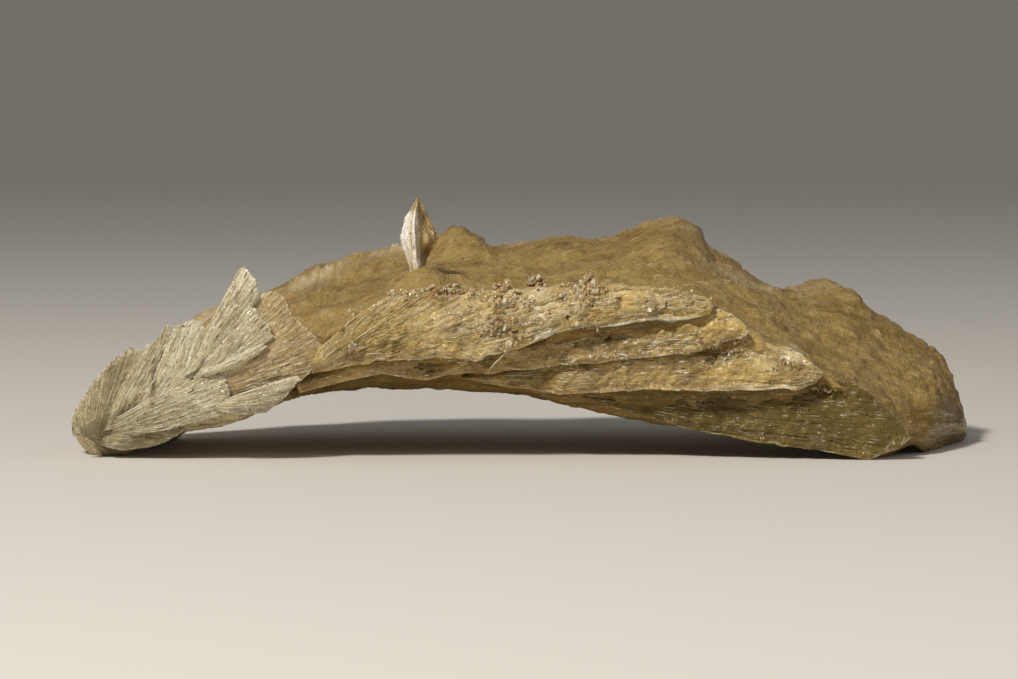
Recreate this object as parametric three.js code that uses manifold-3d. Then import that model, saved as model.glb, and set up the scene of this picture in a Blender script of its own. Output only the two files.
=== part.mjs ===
// A probertite specimen: one intergrown mass of fibrous borate crystals.
// It is an arched crust, higher at the back, with a fan of blades at its left end,
// shingled blades along its front and one stout crystal standing on its top.
// Millimetres, +Z up. The side with the blades faces -Y, and the fan lies towards -X.

import * as THREE from 'three';
import { mergeVertices } from 'three/addons/utils/BufferGeometryUtils.js';
import Module from 'manifold-3d';

// Driving dimensions
const TOE_END = -28.5; // x of the toe's tip
const RIGHT_END = 28.8; // x of the back right corner
const STATIONS = 66; // cross-sections along the crust
const STEPS_PER_LINE = 3; // section points from one guide line to the next
const RIPPLE = 0.28; // height of the crust's broad undulation
const RIB = 0.3; // height of the fibre ribs on the underside and the front
const RIB_TURNS = 24; // ribs in a full turn about the fibres' origin
const FIBRE_ORIGIN = [-13.5, -9]; // x and y of the point that the ribs spread from
const SPLINTER = 0.26; // depth of the flutes between the fibres of a blade
const BLADE_ACROSS = 6; // facets across a blade
const BLADE_ALONG = 4; // facets from a blade's root to its tips
const TIP_THINNING = 0.6; // share of its thickness that a blade loses towards its tips
const TRIM = 12; // depth of the block that cuts the feet flat at z = 0
const TRIM_WIDTH = 120; // width of that block
const SHIFT = [-0.15, -0.95, 0]; // from the guide lines' frame to the centre of the specimen's base

// Guide lines of the crust, as [x, y, z] points from the toe to the right end.
// A cross-section at any x is a smooth closed curve through all of them in turn.
const frontEdge = [
  [-28.5, -6.5, 1.6], [-27.9, -7.2, 0.6], [-26.6, -8, 0], [-25.2, -8.5, 0.2], [-23.8, -8.8, 1],
  [-22.6, -9, 1.4], [-20.8, -9.5, 1.7], [-18, -10, 2.3], [-14.6, -9, 3.6], [-12.2, -7.2, 4],
  [-9.1, -6, 4.1], [-4.1, -6, 4], [-1.6, -6.5, 3.9], [3.4, -8, 3.1], [7.8, -9, 2.3], [12.1, -9.5, 1.6],
  [17.1, -9.5, 1], [18.9, -9.5, 1], [19.9, -9.5, 0.5], [20.9, -9.5, -0.3], [22.5, -9, 0],
  [23.4, -8.4, 0.4], [24.3, -7.2, 0.6], [25.4, -4.6, -0.1], [27, -0.5, 0.1], [28.8, 4.5, 0.4],
];
const frontBelly = [
  [-28.5, -6.8, 1.7], [-26.6, -9.4, 1.6], [-23, -10.8, 2.5], [-18, -11.6, 4], [-13, -10.6, 5.2],
  [-8, -9.5, 6],
  [0, -9.8, 5.8], [6, -10.3, 4.8], [12, -10.5, 3.6], [18, -10.6, 2.2], [22, -10, 1.2], [24.3, -8.3, 1.1],
  [26.5, -3.5, 1.4], [28.2, 1.2, 1], [28.8, 4.4, 0.7],
];
const ridgeNose = [
  [-28.5, -6.9, 1.8], [-26.6, -9.6, 3], [-23, -11.4, 4.8], [-18, -12, 6], [-13, -11.6, 6.6], [-8, -12.2, 8.4],
  [0, -12.4, 8.8], [6, -12.4, 8.8], [10, -12.3, 8.3], [14, -11.9, 6.2], [18, -11.5, 4.3], [22, -10.4, 2.2],
  [24.3, -8.4, 1.3], [26.5, -3.5, 2], [28.2, 1.2, 1.6], [28.8, 4.4, 0.9],
];
const ridgeTop = [
  [-28.5, -6.6, 1.9], [-27.9, -7.5, 2.8], [-26.6, -8.5, 4.2], [-24.6, -9.5, 5.8], [-22.6, -10.5, 6.7],
  [-20.7, -11, 7.4], [-17, -11, 7.9], [-13.6, -11, 7.8], [-12.4, -11.5, 7.9], [-11.1, -12, 8.5],
  [-9.6, -12, 9.5],
  [-7.7, -12, 10.4], [-6.8, -12, 10.6], [-4.9, -12, 10.1], [-2.8, -12, 10.4], [2.1, -12, 10.7],
  [7.1, -12, 10.8],
  [9.5, -12, 10.6], [11.7, -12, 9.6], [13.4, -11.5, 8.6], [15.1, -11.5, 7.2], [17, -11.5, 6.6],
  [18.4, -11.5, 5.4],
  [20.7, -11, 4], [22.4, -10.5, 3], [24, -8.5, 1.7], [26.3, -3, 3], [28, 1.5, 2.4], [28.8, 4.5, 1.1],
];
const valley = [
  [-28.5, -6.4, 1.8], [-26.6, -6.5, 4], [-23, -7.5, 5.6], [-18, -8, 6.6], [-13, -8, 7.2], [-8, -8.5, 9.3],
  [0, -8.8, 9.7], [6, -8.8, 9.7], [12, -8.5, 8.6], [16, -8, 7], [20, -7, 5.2], [24, -4.5, 3.9],
  [26.3, -1, 3.9],
  [28, 3, 2.8], [28.8, 4.7, 1.2],
];
const midSlope = [
  [-28.5, -5.8, 1.7], [-26.6, -2.5, 3.4], [-23, -2, 5.4], [-18, -2, 7.2], [-13, -2, 8.8], [-9, -2, 10.1],
  [-6.6, -2, 11.2], [-4, -2, 10.5], [0, -2, 10.2], [6, -2, 10.2], [12, -2, 9.6], [16, -1, 8.2], [20, 0, 6.9],
  [24, 1.5, 5.6], [26.5, 2.5, 4.6], [28.2, 4.4, 2.7], [28.8, 5.2, 1.2],
];
const backSlope = [
  [-28.5, -5.5, 1.6], [-26.6, 1.5, 2.9], [-23, 3.5, 5.9], [-18, 5.5, 8], [-13, 6, 9.8], [-8, 6, 11],
  [-4, 6, 11.6], [0, 6, 11.3], [6, 6, 11.6], [10, 6, 11.7], [14, 6, 10], [18, 6.5, 8.6], [21, 6.8, 8.2],
  [24, 7, 6.6], [26.8, 6.8, 5], [28.3, 6, 2.8], [28.8, 5.6, 1.2],
];
const rimCrest = [
  [-28.5, -5.3, 1.5], [-26.8, 3.6, 2.4], [-24.3, 6.4, 5], [-22, 8, 7.6], [-20, 10, 8.5], [-18.2, 11, 9],
  [-16.6, 12, 9.5], [-15.1, 13, 10.4], [-13.5, 13, 11.2], [-10.3, 13, 12], [-8.7, 12.5, 12.4],
  [-6.3, 12, 12.9], [-4.7, 12, 13.6], [-3.1, 13, 13], [-2.3, 14, 12.3], [1.8, 14, 12.9], [5.8, 14, 12.9],
  [7.4, 14, 13.6], [9, 14, 14.1], [10.2, 14, 14.2], [11.6, 14, 13.6], [12.3, 14, 12.4], [13.8, 14, 11.5],
  [16.3, 14, 9.6], [17.9, 14, 9.6], [20.3, 14, 10.1], [21.9, 13.5, 9.3], [22.7, 13.3, 8.1],
  [24.2, 13, 7.5], [25.8, 12, 6.5], [27.2, 10, 5.5], [28, 9, 4.2], [28.3, 7.7, 2.6], [28.8, 6, 1.1],
];
const rimOuter = [
  [-28.5, -5.3, 1.3], [-26.8, 4.2, 1.6], [-24.3, 7.3, 3.4], [-22, 9.1, 5.6], [-18, 12.2, 7.4],
  [-13, 14.2, 9.4],
  [-8, 14.3, 10.6], [-4, 13.4, 11.6], [-2, 14.9, 10.9], [4, 15, 11.5], [9.5, 15.1, 12.4], [12, 15, 11.4],
  [15.5, 15, 8.8], [20, 15.2, 8.4], [23, 14.2, 6.3], [26, 12.8, 4.8], [28, 9.6, 2.6], [28.8, 6.3, 0.9],
];
const rimUnder = [
  [-28.5, -5.4, 1.2], [-26.8, 3.4, 0.9], [-24.3, 6.4, 1.6], [-22, 8, 3.2], [-18, 11.3, 5.4], [-13, 13, 7.6],
  [-8, 13.2, 8.8], [-4, 12.6, 9.5], [0, 13.6, 9.5], [6, 13.7, 9.9], [10, 13.8, 10.4], [14, 13.7, 7.8],
  [18, 13.8, 6.4], [21, 13.8, 6], [24, 12.6, 4], [26.5, 10.8, 2.2], [28, 8, 0.6], [28.8, 6, 0.4],
];
const vaultBack = [
  [-28.5, -5.6, 1.1], [-26.8, 1.8, 0.2], [-24.8, 4, -0.4], [-23.2, 5, -0.1], [-21.5, 6, 1.6], [-20, 6.4, 2.6],
  [-17, 7, 4.2], [-13, 7, 6.4], [-8, 7, 7.6], [0, 7, 8.3], [6, 7, 8.4], [10, 7, 8.2], [14, 7, 6.6],
  [18, 7, 5],
  [22, 7, 3.4], [25, 7, 1.2], [27, 6.5, -0.3], [28.3, 5.8, 0], [28.8, 5.4, 0.3],
];
const vaultMiddle = [
  [-28.5, -6, 1.1], [-26.8, -1.5, 0.3], [-24.5, 0, 0.6], [-22, 0, 1.8], [-18, 0, 3.9], [-13, 0, 5.4],
  [-8, 0, 6.2], [0, 0, 6.6], [6, 0, 6.4], [12, 0, 5.2], [17, 0.5, 3.6], [21, 1, 2.4], [24, 2, 1.2],
  [26.6, 2.6, -0.3], [28.2, 4, -0.2], [28.8, 5, 0.2],
];
const vaultFront = [
  [-28.5, -6.3, 1.2], [-26.6, -6, -0.4], [-25.6, -6.4, -0.4], [-24.4, -6.8, 0.6], [-22.6, -6.8, 1.2],
  [-18, -7, 2.7], [-14, -5.4, 4.1], [-9, -3.4, 4.7], [-4, -3.4, 4.7], [1, -4.2, 4.1], [6, -5.6, 3],
  [12, -6.4, 2.1], [17, -6.6, 1.3], [19.4, -6.7, 1], [20.7, -6.8, -0.1], [22.5, -6.2, 0.4],
  [24.4, -4.4, 0.7], [25.8, -2.4, -0.1], [27.4, 1.2, 0], [28.8, 4.7, 0.3],
];
const guideLines = [
  frontEdge, frontBelly, ridgeNose, ridgeTop, valley, midSlope, backSlope,
  rimCrest, rimOuter, rimUnder, vaultBack, vaultMiddle, vaultFront,
];

// Blades, as [x, z] outlines seen from the front. The upper and lower edges run from the root
// to the tips, and the tips run from the lower edge's end to the upper edge's end.
// y is the front of the root, lean is how far the tips stand behind it, crown is the bulge.
const fanBlades = [
  {
    y: -10, lean: 0.2, thick: 2.6, crown: 0.5,
    upper: [[-27.5, 1.3], [-28.2, 2.3]],
    lower: [[-26.3, 1.4], [-24.7, 4.3], [-23.4, 6.7]],
    tips: [[-23.4, 6.7], [-24.5, 7], [-25.3, 6.4], [-26, 5.7], [-26.8, 4.8], [-27.8, 3.3], [-28.2, 2.3]],
  },
  {
    y: -11, lean: 0.2, thick: 2.6, crown: 0.4,
    upper: [[-26.3, 1.7], [-25, 4.6], [-23.5, 7.1]],
    lower: [[-24.9, 2], [-22.9, 4.6], [-21.6, 7]],
    tips: [[-21.6, 7], [-21.8, 8], [-22.1, 8.5], [-22.7, 7.6], [-23.5, 7.1]],
  },
  {
    y: -11.6, lean: 0.2, thick: 2.4, crown: 0.4,
    upper: [[-24.2, 2.7], [-23.1, 4.9], [-21.6, 8.4]],
    lower: [[-23.3, 2.8], [-20.9, 4.9], [-19.3, 7.3]],
    tips: [[-19.3, 7.3], [-19.7, 8.1], [-20.4, 8.8], [-21, 8.6], [-21.6, 8.4]],
  },
  {
    y: -12.1, lean: 0, thick: 1.7, crown: 0.4,
    upper: [[-21.1, 5.2], [-19.9, 7.8], [-18.7, 9.9], [-17.7, 11.8]],
    lower: [[-19.8, 5.9], [-18.1, 7.6], [-16.9, 9.3]],
    tips: [[-16.9, 9.3], [-16.4, 10.1], [-16.6, 11.2], [-17.3, 12.1], [-17.7, 11.8]],
  },
  {
    y: -12, lean: 0, thick: 1.8, crown: 0.4,
    upper: [[-19.8, 5.1], [-17.7, 8], [-16.2, 10.4]],
    lower: [[-19.7, 3.6], [-16.7, 4.3], [-13.9, 4.9]],
    tips: [
      [-13.9, 4.9], [-13.3, 5.4], [-12.7, 6.2], [-12.5, 7.1], [-13, 7.8], [-13.8, 8.5], [-14.5, 9.2],
      [-14.8, 10.1], [-15.4, 10.5], [-16.2, 10.4],
    ],
  },
  {
    y: -12.6, lean: 0, thick: 2, crown: 0.4,
    upper: [[-20.6, 5.3], [-18.7, 7.6], [-17.1, 9.6]],
    lower: [[-20.2, 4.8], [-17.9, 6], [-16.2, 7.1]],
    tips: [[-16.2, 7.1], [-15.5, 7.7], [-15.7, 8.4], [-16.2, 8.8], [-16.6, 9.5], [-17.1, 9.6]],
  },
  {
    y: -13, lean: 0, thick: 2, crown: 0.4,
    upper: [[-20.9, 5.4], [-18.2, 6.7], [-15.6, 7.7]],
    lower: [[-20.6, 4.9], [-17.9, 5.6], [-16.1, 6.7]],
    tips: [[-16.1, 6.7], [-15.7, 7.1], [-15.6, 7.7]],
  },
  {
    y: -12.7, lean: 0.3, thick: 2.4, crown: 0.5,
    upper: [[-18.9, 3.7], [-16.2, 4.7], [-14, 5.3]],
    lower: [[-19.4, 3.1], [-17.9, 2.9], [-16.5, 3.1]],
    tips: [[-16.5, 3.1], [-15.9, 3], [-15.2, 3.6], [-14.7, 4], [-14.3, 4.5], [-13.8, 5.1], [-14, 5.3]],
  },
  {
    y: -10.6, lean: 0.3, thick: 2.6, crown: 0.5,
    upper: [[-26, 1.8], [-23.3, 2.3], [-21.1, 2.1]],
    lower: [[-26.5, 0.8], [-24.9, 0.5], [-23.3, 0.7]],
    tips: [[-23.3, 0.7], [-22.4, 1], [-21.6, 1.4], [-21, 1.9], [-21.1, 2.1]],
  },
  {
    y: -11.6, lean: -0.9, thick: 2.6, crown: 0.5,
    upper: [[-26.4, 2], [-23.1, 3.9], [-19.6, 5.4]],
    lower: [[-26.1, 1.3], [-22.5, 1.8], [-18.6, 2.9]],
    tips: [[-18.6, 2.9], [-18.1, 4.4], [-18.5, 5.3], [-19.6, 5.4]],
  },
];
const shingleBlades = [
  {
    y: -12.3, lean: -0.3, thick: 3, crown: 0.5,
    upper: [
      [-12.9, 6.8], [-11.9, 7.8], [-11.1, 8.6], [-9.6, 9.6], [-7.7, 10.4], [-6.8, 10.6], [-5, 10.2],
      [-2.8, 10.5],
      [2.1, 10.7], [7, 10.8], [9.4, 10.6], [10.5, 10.3], [11.2, 9.8], [11.5, 9.4],
    ],
    lower: [
      [-13.2, 5.4], [-11.1, 5.8], [-9.2, 6.1], [-5.3, 6.4], [-2.8, 6.6], [-0.9, 6.9], [0.5, 7.4], [2.9, 8.1],
      [7, 8.6], [9.9, 8.7], [11.2, 9],
    ],
    tips: [[11.2, 9], [11.5, 9.4]],
  },
  {
    y: -10.4, lean: -1.8, thick: 2.6, crown: 0.5,
    upper: [[-2.8, 6.1], [2.1, 7.3], [7, 8.4], [10.7, 9.3], [11.9, 9.4], [12.6, 9.1], [13.3, 8.6]],
    lower: [[-5.3, 5.2], [-1.6, 5.4], [2.1, 5.8], [7, 6.3], [10.7, 6.8], [11.8, 7.2], [13.3, 7.6]],
    tips: [[13.3, 7.6], [13.7, 8], [13.3, 8.6]],
  },
  {
    y: -9.8, lean: -1.8, thick: 2.6, crown: 0.5,
    upper: [[0.9, 4.8], [7, 6.7], [12, 7.4], [13.8, 7.8], [15, 7.2], [15.8, 6.8], [16.9, 6.6], [17.7, 6]],
    lower: [[2.1, 3.9], [7, 4.3], [13.3, 4.3], [16.8, 4.4], [17.8, 4.7]],
    tips: [[17.8, 4.7], [18.3, 5.3], [17.7, 6]],
  },
  {
    y: -8.2, lean: -3.3, thick: 2.4, crown: 0.3,
    upper: [[0, 5], [7, 4.8], [13.3, 4.8], [16.9, 4.8], [18.6, 4.9], [20, 4.9]],
    lower: [[0, 4.3], [4, 3.6], [7, 2.75], [9, 2.2], [13, 1.65], [16.6, 1.4], [18.9, 1.05]],
    tips: [
      [18.9, 1.05], [19.8, 0.6], [20.5, 0.1], [21.2, 0], [22, 0.3], [23, 0.7], [23.7, 1.3], [23.5, 2],
      [22.3, 3.3],
      [21.2, 4.2], [20, 4.9],
    ],
  },
  {
    y: -9.6, lean: -0.3, thick: 2.4, crown: 0.3,
    upper: [[-14.3, 4.4], [-10.9, 5.5], [-7.8, 6.1], [-3, 6.3]],
    lower: [[-14, 4.1], [-10.9, 4.9], [-8.9, 5.3], [-7.2, 5], [-6.1, 4.9], [-5, 5.2]],
    tips: [[-5, 5.2], [-3.7, 5.7], [-3, 6.3]],
  },
];

// The stout crystal: a narrow front face with a blunt foot, a fluted right side and one sharp tip.
const toothTip = [-6.9, -2, 16.1];
const toothRing = [
  [-7.8, -2.1, 14.2], [-7.2, -3.3, 13.4], [-6.3, -2.5, 13.6], [-5.5, -1.4, 13.9], [-6.1, -0.6, 13.8],
  [-7.3, -0.9, 13.6],
];
const toothFoot = [
  [-7.8, -2.2, 12.4], [-7.2, -3.2, 11.5], [-6.5, -2.4, 11.4], [-5.5, -1.4, 13], [-5.7, -0.5, 11.8],
  [-7.2, -0.8, 11.8],
];
const toothRoot = [
  [-7.5, -2.3, 10], [-7, -2.8, 9.7], [-6.3, -2.5, 9.7], [-5.6, -1.6, 9.8], [-5.8, -0.7, 10], [-7.1, -0.9, 10],
];

// Grains of the crust on the ridge, as [x, y, z, radius]
const grains = [
  [-1.4, -11.9, 10.7, 0.55], [0.6, -11.5, 10.8, 0.6], [3.9, -11.5, 10.9, 0.65], [1.9, -11.3, 10.6, 0.55],
  [-0.4, -10.6, 10.4, 0.6], [2.9, -10.4, 10.5, 0.55], [-4.4, -8.4, 10, 0.9], [-5.9, -9, 10.1, 0.7],
  [-2.3, -12.5, 9.1, 0.6], [-1.3, -12.6, 8.4, 0.6], [-0.2, -12.6, 9.4, 0.7], [1.1, -12.6, 9.6, 0.6],
  [-1.9, -12.7, 7.7, 0.7], [0.2, -12.6, 8.2, 0.5], [-2.6, -12.5, 6.7, 0.8], [5.6, -11.2, 10.7, 0.5],
];
// Low mounds of the top surface, as [x, y, radius, height]
const mounds = [
  [-14, 3, 2.4, 0.5], [-10.5, 8, 1.9, 0.6], [-17.5, 7.5, 2, 0.5], [-20, 1, 2.2, 0.4], [-3, 9, 2.2, 0.5],
  [-1, 2.5, 1.9, 0.4], [2.5, 9.6, 2.4, 0.5], [5, 3, 2, 0.5], [9.5, 8, 2.2, 0.5], [10.5, -4, 2.2, 0.5],
  [14.8, -4, 1.7, 0.6], [15.5, 3.5, 2.2, 0.5], [16.9, 9, 1.5, 0.6], [20.4, 3.2, 1.6, 0.6],
  [22.3, 10, 1.7, 0.6],
  [24.1, 6.5, 1.5, 0.6], [26.1, 4.5, 1.3, 0.5], [-7, 3.5, 2, 0.4],
];
// Lumps at the low corners and on the front sheet, as [x, y, z, radius]
const lumps = [
  [21.2, -9.3, 0.8, 1.1], [27.5, 6, 1.4, 1.3], [27.1, 9, 3.2, 1.1], [16.4, -10.7, 3.2, 1.1],
  [-12.6, -8.6, 5, 1.2],
];
// Pits, cut into the surface, as [x, y, z, radius]
const pits = [
  [-0.5, -13, 10.4, 0.3], [2.6, -13.3, 8.9, 0.3], [-5.9, -11, 5.6, 0.4], [5.1, -12.6, 7.4, 0.6],
  [26.8, 1, 0.6, 0.8],
];

const wasm = await Module();
wasm.setup();

// A point [y, z] on a guide line at x: a cubic through its points, with the slope at each point
// taken from its two neighbours.
function along(line, x) {
  const last = line.length - 2;
  let i = line.findIndex((point) => point[0] > x) - 1;
  i = i < 0 ? (x <= line[0][0] ? 0 : last) : Math.min(i, last);
  const [a, b] = [line[i], line[i + 1]];
  const [before, after] = [line[i - 1] ?? a, line[i + 2] ?? b];
  const span = b[0] - a[0];
  const s = THREE.MathUtils.clamp((x - a[0]) / span, 0, 1);
  return [1, 2].map((k) => {
    const slopeA = (b[k] - before[k]) / (b[0] - before[0]) * span;
    const slopeB = (after[k] - a[k]) / (after[0] - a[0]) * span;
    return (2 * s ** 3 - 3 * s ** 2 + 1) * a[k] + (s ** 3 - 2 * s ** 2 + s) * slopeA
      + (3 * s ** 2 - 2 * s ** 3) * b[k] + (s ** 3 - s ** 2) * slopeB;
  });
}

// Broad undulation of the crust, between -1 and 1
function ripple(x, y, z) {
  return 0.4 * Math.sin(0.9 * x + 1.7 * z) * Math.cos(0.8 * y - 0.5 * x)
    + 0.35 * Math.sin(1.9 * y + 0.7 * x + 2) * Math.cos(1.3 * x - z)
    + 0.25 * Math.sin(2.6 * x - 1.1 * y) * Math.sin(2.2 * y + 1.4 * z);
}

// Straight-sided ribs that spread from the fibres' origin, between -1 and 1
function rib(x, y) {
  const angle = Math.atan2(y - FIBRE_ORIGIN[1], x - FIBRE_ORIGIN[0]);
  const turn = RIB_TURNS * angle + 0.8 * ripple(x / 2, y / 2, 0);
  return 2 / Math.PI * Math.asin(Math.sin(turn));
}

// Height of the low mounds of the top surface at x and y
function moundHeight(x, y) {
  return mounds.reduce((sum, [mx, my, radius, height]) => (
    sum + height * Math.exp(-((x - mx) ** 2 + (y - my) ** 2) / radius ** 2)), 0);
}

// The closed section of the crust at x, as points around it: a smooth curve through the guide
// lines, with mounds on top, ribs below and in front, and an undulation all over
function section(x) {
  const knots = guideLines.map((line) => new THREE.Vector3(x, ...along(line, x)));
  const curve = new THREE.CatmullRomCurve3(knots, true, 'catmullrom', 0.5);
  const count = guideLines.length * STEPS_PER_LINE;
  const centre = knots.reduce((sum, knot) => sum.add(knot), new THREE.Vector3()).divideScalar(knots.length);
  return Array.from({ length: count }, (_, i) => {
    const point = curve.getPoint(i / count);
    const outward = point.clone().sub(centre);
    const room = THREE.MathUtils.clamp(outward.length() - 1, 0, 1);
    const line = i / STEPS_PER_LINE;
    const onTop = line > 3.5 && line < 7.5;
    const relief = RIPPLE * ripple(point.x, point.y, point.z) + (onTop ? 0 : RIB * rib(point.x, point.y));
    point.z += onTop ? room * moundHeight(point.x, point.y) : 0;
    return point.addScaledVector(outward.normalize(), room * relief);
  });
}

// An indexed geometry from points and triangles
function shape(points, triangles) {
  const geometry = new THREE.BufferGeometry().setFromPoints(points);
  geometry.setIndex(triangles.flat());
  return geometry;
}

// Two triangles for the cell between rows a and a + step, columns b and next
function cell(a, b, c, d) {
  return [[a, b, c], [a, c, d]];
}

// The crust: sections closer together near both ends, joined ring to ring and closed at the ends
function crust() {
  const around = guideLines.length * STEPS_PER_LINE;
  const rings = Array.from({ length: STATIONS }, (_, i) => {
    const s = i / (STATIONS - 1);
    const eased = (1 + 0.7 * (2 * s - 1) - 0.3 * Math.cos(Math.PI * s)) / 2;
    return section(THREE.MathUtils.lerp(TOE_END, RIGHT_END, eased));
  });
  const points = rings.flat();
  const triangles = [];
  for (let i = 0; i + 1 < STATIONS; i += 1) {
    for (let j = 0; j < around; j += 1) {
      const next = (j + 1) % around;
      const [row, nextRow] = [i * around, (i + 1) * around];
      triangles.push(...cell(row + j, row + next, nextRow + next, nextRow + j));
    }
  }
  for (const [ring, start, turn] of [[rings[0], 0, 1], [rings.at(-1), (STATIONS - 1) * around, -1]]) {
    const centre = ring.reduce((sum, point) => sum.add(point), new THREE.Vector3()).divideScalar(around);
    const hub = points.push(centre) - 1;
    for (let j = 0; j < around; j += 1) {
      const pair = [start + (j + 1) % around, start + j];
      triangles.push([hub, ...(turn > 0 ? pair : pair.reverse())]);
    }
  }
  return shape(points, triangles);
}

// A point at the fraction s of a polyline's length
function onLine(line, s) {
  const lengths = line.slice(1).map((point, i) => Math.hypot(point[0] - line[i][0], point[1] - line[i][1]));
  let left = s * lengths.reduce((sum, length) => sum + length, 0);
  for (let i = 0; i < lengths.length; i += 1) {
    if (left <= lengths[i] || i === lengths.length - 1) {
      const part = Math.min(left / lengths[i], 1);
      return [0, 1].map((k) => line[i][k] + part * (line[i + 1][k] - line[i][k]));
    }
    left -= lengths[i];
  }
  return line[0];
}

// A point inside the outline of a blade: its four edges blended across and along (a Coons patch)
function bladePoint({ upper, lower, tips }, u, t) {
  const [top, bottom] = [onLine(upper, t), onLine(lower, t)];
  const tip = onLine(tips.toReversed(), u);
  const [rootA, rootB, tipA, tipB] = [upper[0], lower[0], upper.at(-1), lower.at(-1)];
  return [0, 1].map((k) => (1 - u) * top[k] + u * bottom[k]
    + (1 - t) * ((1 - u) * rootA[k] + u * rootB[k]) + t * tip[k]
    - (1 - t) * ((1 - u) * rootA[k] + u * rootB[k]) - t * ((1 - u) * tipA[k] + u * tipB[k]));
}

// A blade: rings of an unevenly fluted, crowned front and one point behind it, which thin
// towards the tips
function blade(form) {
  const points = [];
  const sides = BLADE_ACROSS + 2;
  for (let j = 0; j <= BLADE_ALONG; j += 1) {
    const t = j / BLADE_ALONG;
    const face = form.y + form.lean * t;
    for (let i = 0; i <= BLADE_ACROSS; i += 1) {
      const uneven = 0.25 * Math.sin(4.1 * i + 3 * form.y) * Math.sin(Math.PI * i / BLADE_ACROSS);
      const u = (i + uneven) / BLADE_ACROSS;
      const [x, z] = bladePoint(form, u, t);
      const flute = (i % 2 ? -0.5 : 0.5) * SPLINTER * (1 + 0.7 * Math.sin(7.3 * i + 5 * form.y));
      points.push(new THREE.Vector3(x, face - form.crown * Math.sin(Math.PI * u) + flute, z));
    }
    const [x, z] = bladePoint(form, 0.5, t);
    points.push(new THREE.Vector3(x, face + form.thick * (1 - TIP_THINNING * t), z));
  }
  const triangles = [];
  for (let j = 0; j < BLADE_ALONG; j += 1) {
    for (let i = 0; i < sides; i += 1) {
      const next = (i + 1) % sides;
      const [row, nextRow] = [j * sides, (j + 1) * sides];
      triangles.push(...cell(row + i, nextRow + i, nextRow + next, row + next));
    }
  }
  const lastRow = BLADE_ALONG * sides;
  for (let i = 0; i < BLADE_ACROSS; i += 1) {
    triangles.push([sides - 1, i, i + 1]);
    triangles.push([lastRow + sides - 1, lastRow + i + 1, lastRow + i]);
  }
  return shape(points, triangles);
}

// The stout crystal: three six-sided rings and a tip
function tooth() {
  const rings = [toothRoot, toothFoot, toothRing];
  const points = [...rings.flat(), toothTip].map((point) => new THREE.Vector3(...point));
  const sides = toothRing.length;
  const triangles = [];
  for (let i = 0; i + 1 < rings.length; i += 1) {
    for (let j = 0; j < sides; j += 1) {
      const next = (j + 1) % sides;
      triangles.push(...cell(i * sides + j, i * sides + next, (i + 1) * sides + next, (i + 1) * sides + j));
    }
  }
  for (let j = 0; j < sides; j += 1) {
    triangles.push([2 * sides + j, 2 * sides + (j + 1) % sides, 3 * sides]);
  }
  for (let j = 1; j + 1 < sides; j += 1) {
    triangles.push([0, j + 1, j]);
  }
  return shape(points, triangles);
}

// A grain: a twenty-sided block with its corners moved in and out
function grain([x, y, z, radius]) {
  const geometry = new THREE.IcosahedronGeometry(1, 0);
  const position = geometry.attributes.position;
  const corner = new THREE.Vector3();
  for (let i = 0; i < position.count; i += 1) {
    corner.fromBufferAttribute(position, i);
    const size = radius * (1 + 0.45 * ripple(5 * corner.x + x, 5 * corner.y + y, 5 * corner.z + z));
    position.setXYZ(i, x + size * corner.x, y + size * corner.y, z + size * corner.z);
  }
  return geometry;
}

// A closed geometry as a solid, with its shared corners merged and its faces turned outwards
function solid(geometry) {
  const bare = geometry.clone();
  bare.deleteAttribute('normal');
  bare.deleteAttribute('uv');
  const merged = mergeVertices(bare, 1e-4);
  const position = merged.attributes.position;
  const corners = Array.from({ length: position.count }, (_, i) => (
    new THREE.Vector3().fromBufferAttribute(position, i)));
  const index = Array.from(merged.index.array);
  const faces = [];
  for (let i = 0; i < index.length; i += 3) {
    const face = index.slice(i, i + 3);
    if (new Set(face).size === 3) {
      faces.push(face);
    }
  }
  const volume = faces.reduce((sum, [a, b, c]) => (
    sum + corners[a].dot(corners[b].clone().cross(corners[c]))), 0);
  const triVerts = Uint32Array.from((volume < 0 ? faces.map((face) => face.toReversed()) : faces).flat());
  return new wasm.Manifold(new wasm.Mesh({ numProp: 3, vertProperties: position.array, triVerts }));
}

// A solid's surface as a geometry
function surface(manifold) {
  const mesh = manifold.getMesh();
  const geometry = new THREE.BufferGeometry();
  geometry.setAttribute('position', new THREE.BufferAttribute(mesh.vertProperties, 3));
  geometry.setIndex(new THREE.BufferAttribute(mesh.triVerts, 1));
  geometry.computeVertexNormals();
  return geometry;
}

// The whole specimen: everything grown together, pitted, and cut flat where it stands
function specimen() {
  const grown = [...fanBlades, ...shingleBlades].map(blade);
  const added = [...grown, tooth(), ...grains.map(grain), ...lumps.map(grain)];
  const whole = added.reduce((sum, geometry) => sum.add(solid(geometry)), solid(crust()));
  const pitted = pits.reduce((rest, pit) => rest.subtract(solid(grain(pit))), whole);
  const ground = new THREE.BoxGeometry(TRIM_WIDTH, TRIM_WIDTH, TRIM).translate(0, 0, -TRIM / 2);
  return surface(pitted.subtract(solid(ground)));
}

const mineral = new THREE.MeshStandardMaterial({ color: 0xb49c6a, roughness: 0.55, metalness: 0 });
const probertite = new THREE.Mesh(specimen(), mineral);
probertite.name = 'probertite';
probertite.position.fromArray(SHIFT);

const group = new THREE.Group();
group.add(probertite);

export default group;
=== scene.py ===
"""Looks of a probertite specimen, an arched crust of fibrous borate crystals.

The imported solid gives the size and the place. Every shape here is a surface worked out as whole
arrays in millimetres, in the guide lines' frame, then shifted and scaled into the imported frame.
"""

import itertools
import logging
import math
from dataclasses import dataclass, field
from enum import Enum

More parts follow.
